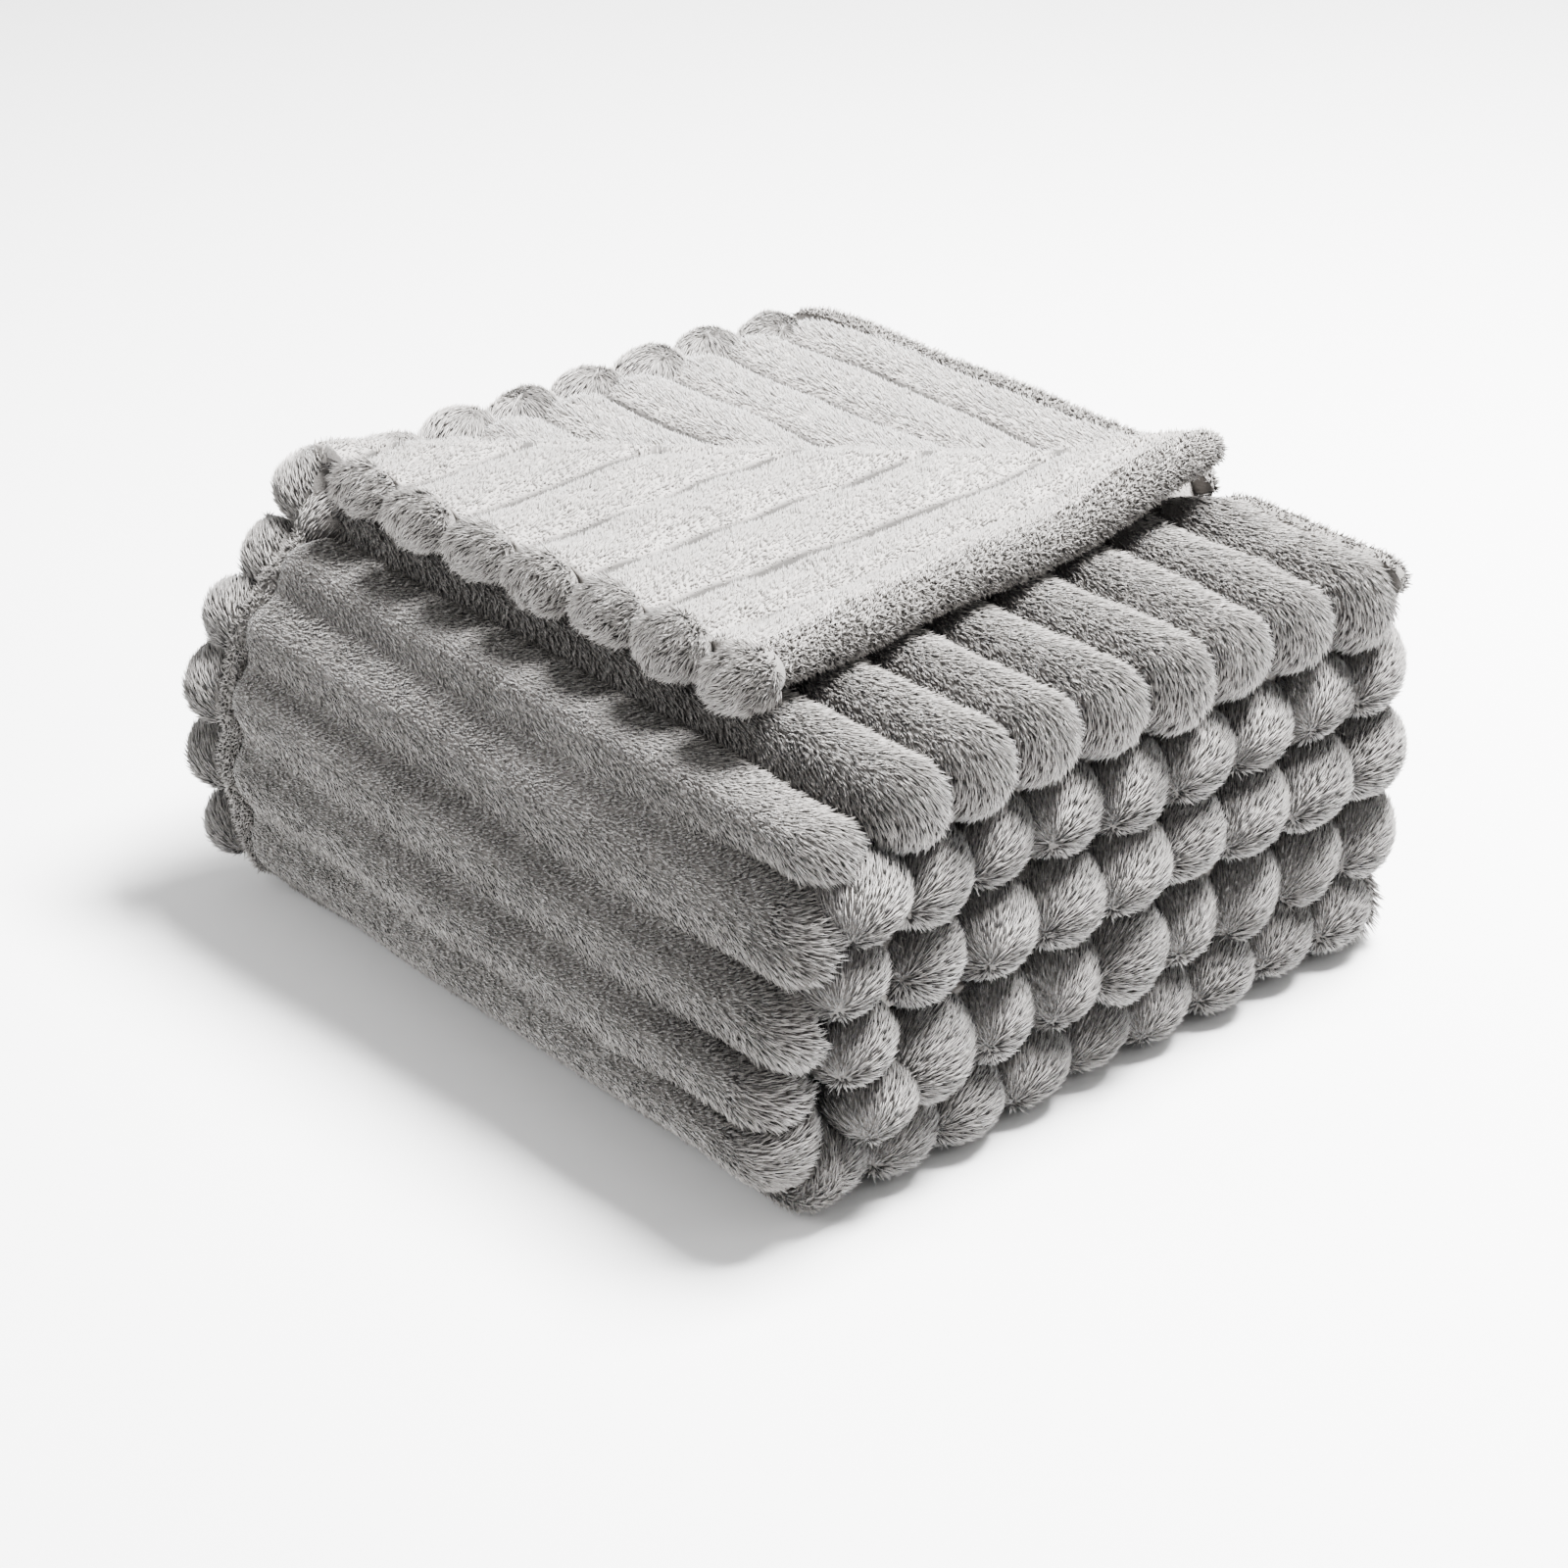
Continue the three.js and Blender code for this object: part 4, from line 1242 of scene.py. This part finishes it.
class THROW_OT_turned_corner(bpy.types.Operator):
    """Makes the corner of the top ply that is turned over, with its scalloped and its rolled hem"""
    bl_idname = "throw.turned_corner"
    bl_label = "Turned corner"

    def execute(self, context):
        settings = settings_of(context)
        self.corner_cloth(settings)
        self.crease_fold(settings)
        self.end_hem(settings)
        self.long_hem(settings)
        return {"FINISHED"}

    def crease_fold(self, settings):
        """The rounded fold that joins the turned corner to the top ply, drawn in at the quilted seams."""
        xs = np.array(smooth_run(CREASE[0] + 9, CORNER_X - 26, 110))
        angles = np.radians(np.array(smooth_run(-75, 255, 25)))[:, None]
        across = across_of((xs - FIRST_SEAM) / CORNER_PITCH)
        from_seam = (1 - np.abs(across)) * CORNER_PITCH / 2
        full = 0.72 + 0.28 * roundness(across, 0.96)
        share = (xs - xs[0]) / (xs[-1] - xs[0])
        full = full * np.sqrt(np.clip(1 - np.abs(2 * share - 1) ** 16, 0.02, 1))
        off = -1.5 + 8.0 * np.cos(angles) * full
        line = together(xs, CREASE[1] + xs - CREASE[0], 0 * xs)
        middle = corner_height(line, settings) - 5.0
        z = middle + 10.5 * np.sin(angles) * (0.8 + 0.2 * full)
        half = math.sqrt(0.5)
        points = together(xs - half * off, line[:, 1] + half * off, z)
        outward = together(-half * np.cos(angles) + 0 * z, half * np.cos(angles) + 0 * z, np.sin(angles) + 0 * z)
        pile = smooth((from_seam - 1.8) / 1.6) + 0 * z
        # Where the painted shade of the quilted seams falls.
        seam = 1 - smooth((from_seam - 1.6) / 2.4) + 0 * z
        comb = together(-0.5 * np.sin(angles) + 0 * z, 0.5 * np.sin(angles) + 0 * z, -0.6 * np.cos(angles) + 0 * z)
        piece = closed_mesh("corner_crease_fold", points, points - outward * 3.0, pile, 0.8, comb,
                            bpy.data.materials["Smooth cloth"], seam)
        grown = grow_pile(piece, settings, "short", 53, 0.6)
        finish_cloth(piece, grown, "crease", [])

    def corner_cloth(self, settings):
        """Rows run along Y from the end hem to the crease; the quilted seams run the same way."""
        t = rib_samples(-1, CORNER_RIBS, RIB_STEPS)
        t = t[t >= -0.45]
        share = np.array(smooth_run(0, 1, 70))
        first = CREASE[1] + 8
        x = (FIRST_SEAM + CORNER_PITCH * t)[:, None] + 0 * share[None, :]
        last = CREASE[1] + (x - CREASE[0]) + 1.0
        last = np.minimum(last, TIP_Y)
        grid_y = first + (last - first) * share[None, :]
        edge = corner_edge(grid_y)
        full = FIRST_SEAM + CORNER_PITCH * CORNER_RIBS
        straight = 60  # up to here the seams run straight, and from here they draw in with the hem
        drawn_in = straight + (x - straight) * (edge - 2 - straight) / (full - straight)
        grid_x = np.where(x > straight, drawn_in, x)
        across = across_of(t)[:, None]
        from_seam = (1 - np.abs(across)) * CORNER_PITCH / 2 + 0 * grid_x
        flat = together(grid_x, grid_y, 0.0)
        middle = corner_height(flat, settings)
        to_crease = np.maximum((grid_x - CREASE[0]) - (grid_y - CREASE[1]) + 1.5, 0.0)
        rim = smooth(to_crease / 16.0)
        thick = CORNER_THICKNESS / 2 * (0.15 + 0.85 * np.sqrt(rim))
        puff = 6.5 * (1 - roundness(across, 0.965))
        top_z = middle + thick - puff * rim + waves(flat, 40, 92) * 1.5
        bottom_z = middle - thick + 5.0 * (1 - roundness(across)) * rim
        between = np.minimum(middle, top_z - 1.0)
        bottom_z = np.minimum(bottom_z, between - 1.6)
        top = together(grid_x, grid_y, top_z)
        under = together(grid_x, grid_y, between)
        bottom = together(grid_x, grid_y, bottom_z)
        comb = together(-0.35 + 0.15 * across + 0 * grid_x, 0.5 + 0 * grid_x, 0 * grid_x)
        nap = 0.3 + 0.7 * smooth((from_seam - 1.6) / 7.0)
        pile = smooth((from_seam - 2.2) / 1.6)
        # Where the painted shade of the quilted seams falls.
        seam = 1 - smooth((from_seam - 2.0) / 2.4)
        piece = closed_mesh("turned_corner_cloth", top, under, pile, nap, comb, bpy.data.materials["Smooth cloth"],
                            seam)
        grown = grow_pile(piece, settings, "short", 50)
        leg = CORNER_X - CREASE[0]
        finish_cloth(piece, grown, "corner_flap", ["corner_flap_backing"],
                     flat=(leg, leg), area=leg * leg / 2)
        under[..., 2] -= 0.4
        piece = closed_mesh("turned_corner_face", bottom, under, rim, 0.8, np.array([0.0, -0.7, 0.0]),
                            bpy.data.materials["Ribbed cloth"])
        grown = grow_pile(piece, settings, "long", 54, 0.35)
        finish_cloth(piece, grown, "corner_flap", ["corner_flap_face"],
                     flat=(leg, leg), area=leg * leg / 2)

    def end_hem(self, settings):
        """Scalloped balls along X, gathered where the hem is sewn; the last is the corner itself."""
        draw = np.random.default_rng(95)
        balls = []
        for i in range(CORNER_RIBS):
            x = CORNER_X - 8 - CORNER_PITCH * (CORNER_RIBS - 1 - i)
            y = CREASE[1] + 3 + draw.uniform(-2, 2)
            z = float(corner_height(np.array([x, y, 0.0]), settings)) - 1.5
            size = draw.uniform(0.86, 1.04) * (1.0 if i else 0.85)
            radii = (18.5 * size, 13.0 * size, 11.5 * size)
            if i == CORNER_RIBS - 1:
                radii = (15.0, 15.0, 12.0)
            balls.append(((x, y, z), radii, (0.15, 0.9, 0.35), 0.0))
        piece = ball_piece("corner_end_hem", balls, (0, -0.6, 0), bpy.data.materials["Hem cloth"], 300)
        grown = grow_pile(piece, settings, "woolly", 51)
        finish_cloth(piece, grown, "corner_flap", ["corner_flap_end_hem"])

    def long_hem(self, settings):
        """The rolled hem along Y, from the corner to the lifted tip."""
        ys = np.array(smooth_run(CREASE[1] + 1, TIP_Y + 4, 70))
        angles = np.radians(np.array(smooth_run(140, -140, 21)))
        share = (ys - ys[0]) / (ys[-1] - ys[0])
        middle_x = corner_edge(ys)
        base = together(middle_x, ys, 0 * ys)
        middle_z = corner_height(base, settings) - 0.5
        taper = np.sqrt(np.clip(1 - np.abs(2 * share - 1) ** 24, 0.03, 1)) * (1 + 0.05 * np.sin(ys / 13.0))
        x = middle_x[None, :] + 8.5 * np.cos(angles)[:, None] * taper[None, :]
        z = middle_z[None, :] + 8.5 * np.sin(angles)[:, None] * taper[None, :]
        points = together(x, ys[None, :] + 0 * x, z)
        piece = solid_roll("corner_long_hem", points, 0, 1.0, np.array([0.1, 0.2, 0.0]),
                           bpy.data.materials["Hem cloth"])
        grown = grow_pile(piece, settings, "curly", 52)
        finish_cloth(piece, grown, "corner_flap", ["corner_flap_long_hem"])


# ---------------------------------------------------------------- stage

class THROW_OT_stage(bpy.types.Operator):
    """Sets the pale floor, the soft studio lamps and the camera"""
    bl_idname = "throw.stage"
    bl_label = "Stage"

    def execute(self, context):
        self.floor()
        self.lamps()
        self.camera(context)
        return {"FINISHED"}

    def floor(self):
        side = 6.0
        mesh = bpy.data.meshes.new("floor")
        mesh.from_pydata([(-side, -side, 0), (side, -side, 0), (side, side, 0), (-side, side, 0)], [], [(0, 1, 2, 3)])
        floor = bpy.data.objects.new("floor", mesh)
        bpy.context.scene.collection.objects.link(floor)
        material, shader = new_material("Pale floor")
        shader.inputs["Base Color"].default_value = (0.86, 0.86, 0.86, 1)
        mesh.materials.append(material)
        floor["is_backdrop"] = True

    def lamps(self):
        world = bpy.data.worlds.new("Studio")
        bpy.context.scene.world = world
        world.use_nodes = True
        bpy.context.scene.view_settings.look = "AgX - Medium High Contrast"
        background = world.node_tree.nodes["Background"]
        background.inputs["Color"].default_value = (1, 1, 1, 1)
        background.inputs["Strength"].default_value = 0.5
        lamps = [
            ("key", (0.25, 0.65, 1.9), 0.7, 225.0),
            ("side", (1.6, 0.9, 1.3), 0.7, 4.0),
            ("front", (-0.9, -1.7, 1.2), 1.0, 24.0),
        ]
        for name, place, size, power in lamps:
            light = bpy.data.lights.new(name, "AREA")
            light.energy = power
            light.size = size
            lamp = bpy.data.objects.new(name, light)
            lamp.location = place
            lamp.rotation_euler = (Vector((0, 0, 0.1)) - Vector(place)).to_track_quat("-Z", "Y").to_euler()
            bpy.context.scene.collection.objects.link(lamp)

    def camera(self, context):
        azimuth = math.radians(48.15)
        elevation = math.radians(28.4)
        back = Vector((math.sin(azimuth) * math.cos(elevation), -math.cos(azimuth) * math.cos(elevation),
                       math.sin(elevation)))
        data = bpy.data.cameras.new("camera")
        data.sensor_width = 36.0
        data.lens = 85.5
        camera = bpy.data.objects.new("camera", data)
        camera.location = Vector((1.0567, -0.9619, 0.8387))
        camera.rotation_euler = back.to_track_quat("Z", "Y").to_euler()
        context.scene.collection.objects.link(camera)
        context.scene.camera = camera


# ---------------------------------------------------------------- panel and registration

STEPS = ("materials", "stage", "plies", "second_ply", "top_cloth", "side_turn", "fold_ends", "far_side",
         "turned_corner")


class THROW_PT_panel(bpy.types.Panel):
    """Lists the blanket's steps and settings"""
    bl_idname = "THROW_PT_panel"
    bl_label = "Throw blanket"
    bl_space_type = "VIEW_3D"
    bl_region_type = "UI"
    bl_category = "Throw"

    def draw(self, context):
        settings = settings_of(context)
        for name in ("colour", "rib_relief", "side_relief", "pile_length", "pile_density", "corner_lift"):
            self.layout.prop(settings, name)
        for step in STEPS:
            self.layout.operator(f"throw.{step}")


CLASSES = (ThrowBlanketSettings, THROW_OT_materials, THROW_OT_stage, THROW_OT_plies, THROW_OT_second_ply,
           THROW_OT_top_cloth, THROW_OT_side_turn, THROW_OT_fold_ends, THROW_OT_far_side, THROW_OT_turned_corner,
           THROW_PT_panel)


def register():
    for cls in CLASSES:
        bpy.utils.register_class(cls)
    bpy.types.Scene.throw_blanket = bpy.props.PointerProperty(type=ThrowBlanketSettings)


def unregister():
    del bpy.types.Scene.throw_blanket
    for cls in reversed(CLASSES):
        bpy.utils.unregister_class(cls)


def write_sizes():
    boxes = {"cad": CAD_BOX, "visual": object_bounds()}
    plain = {name: [[float(v) for v in corner] for corner in box] for name, box in boxes.items()}


def main():
    register()
    for step in STEPS:
        getattr(bpy.ops.throw, step)()
    write_sizes()


if __name__ == "__main__":
    main()
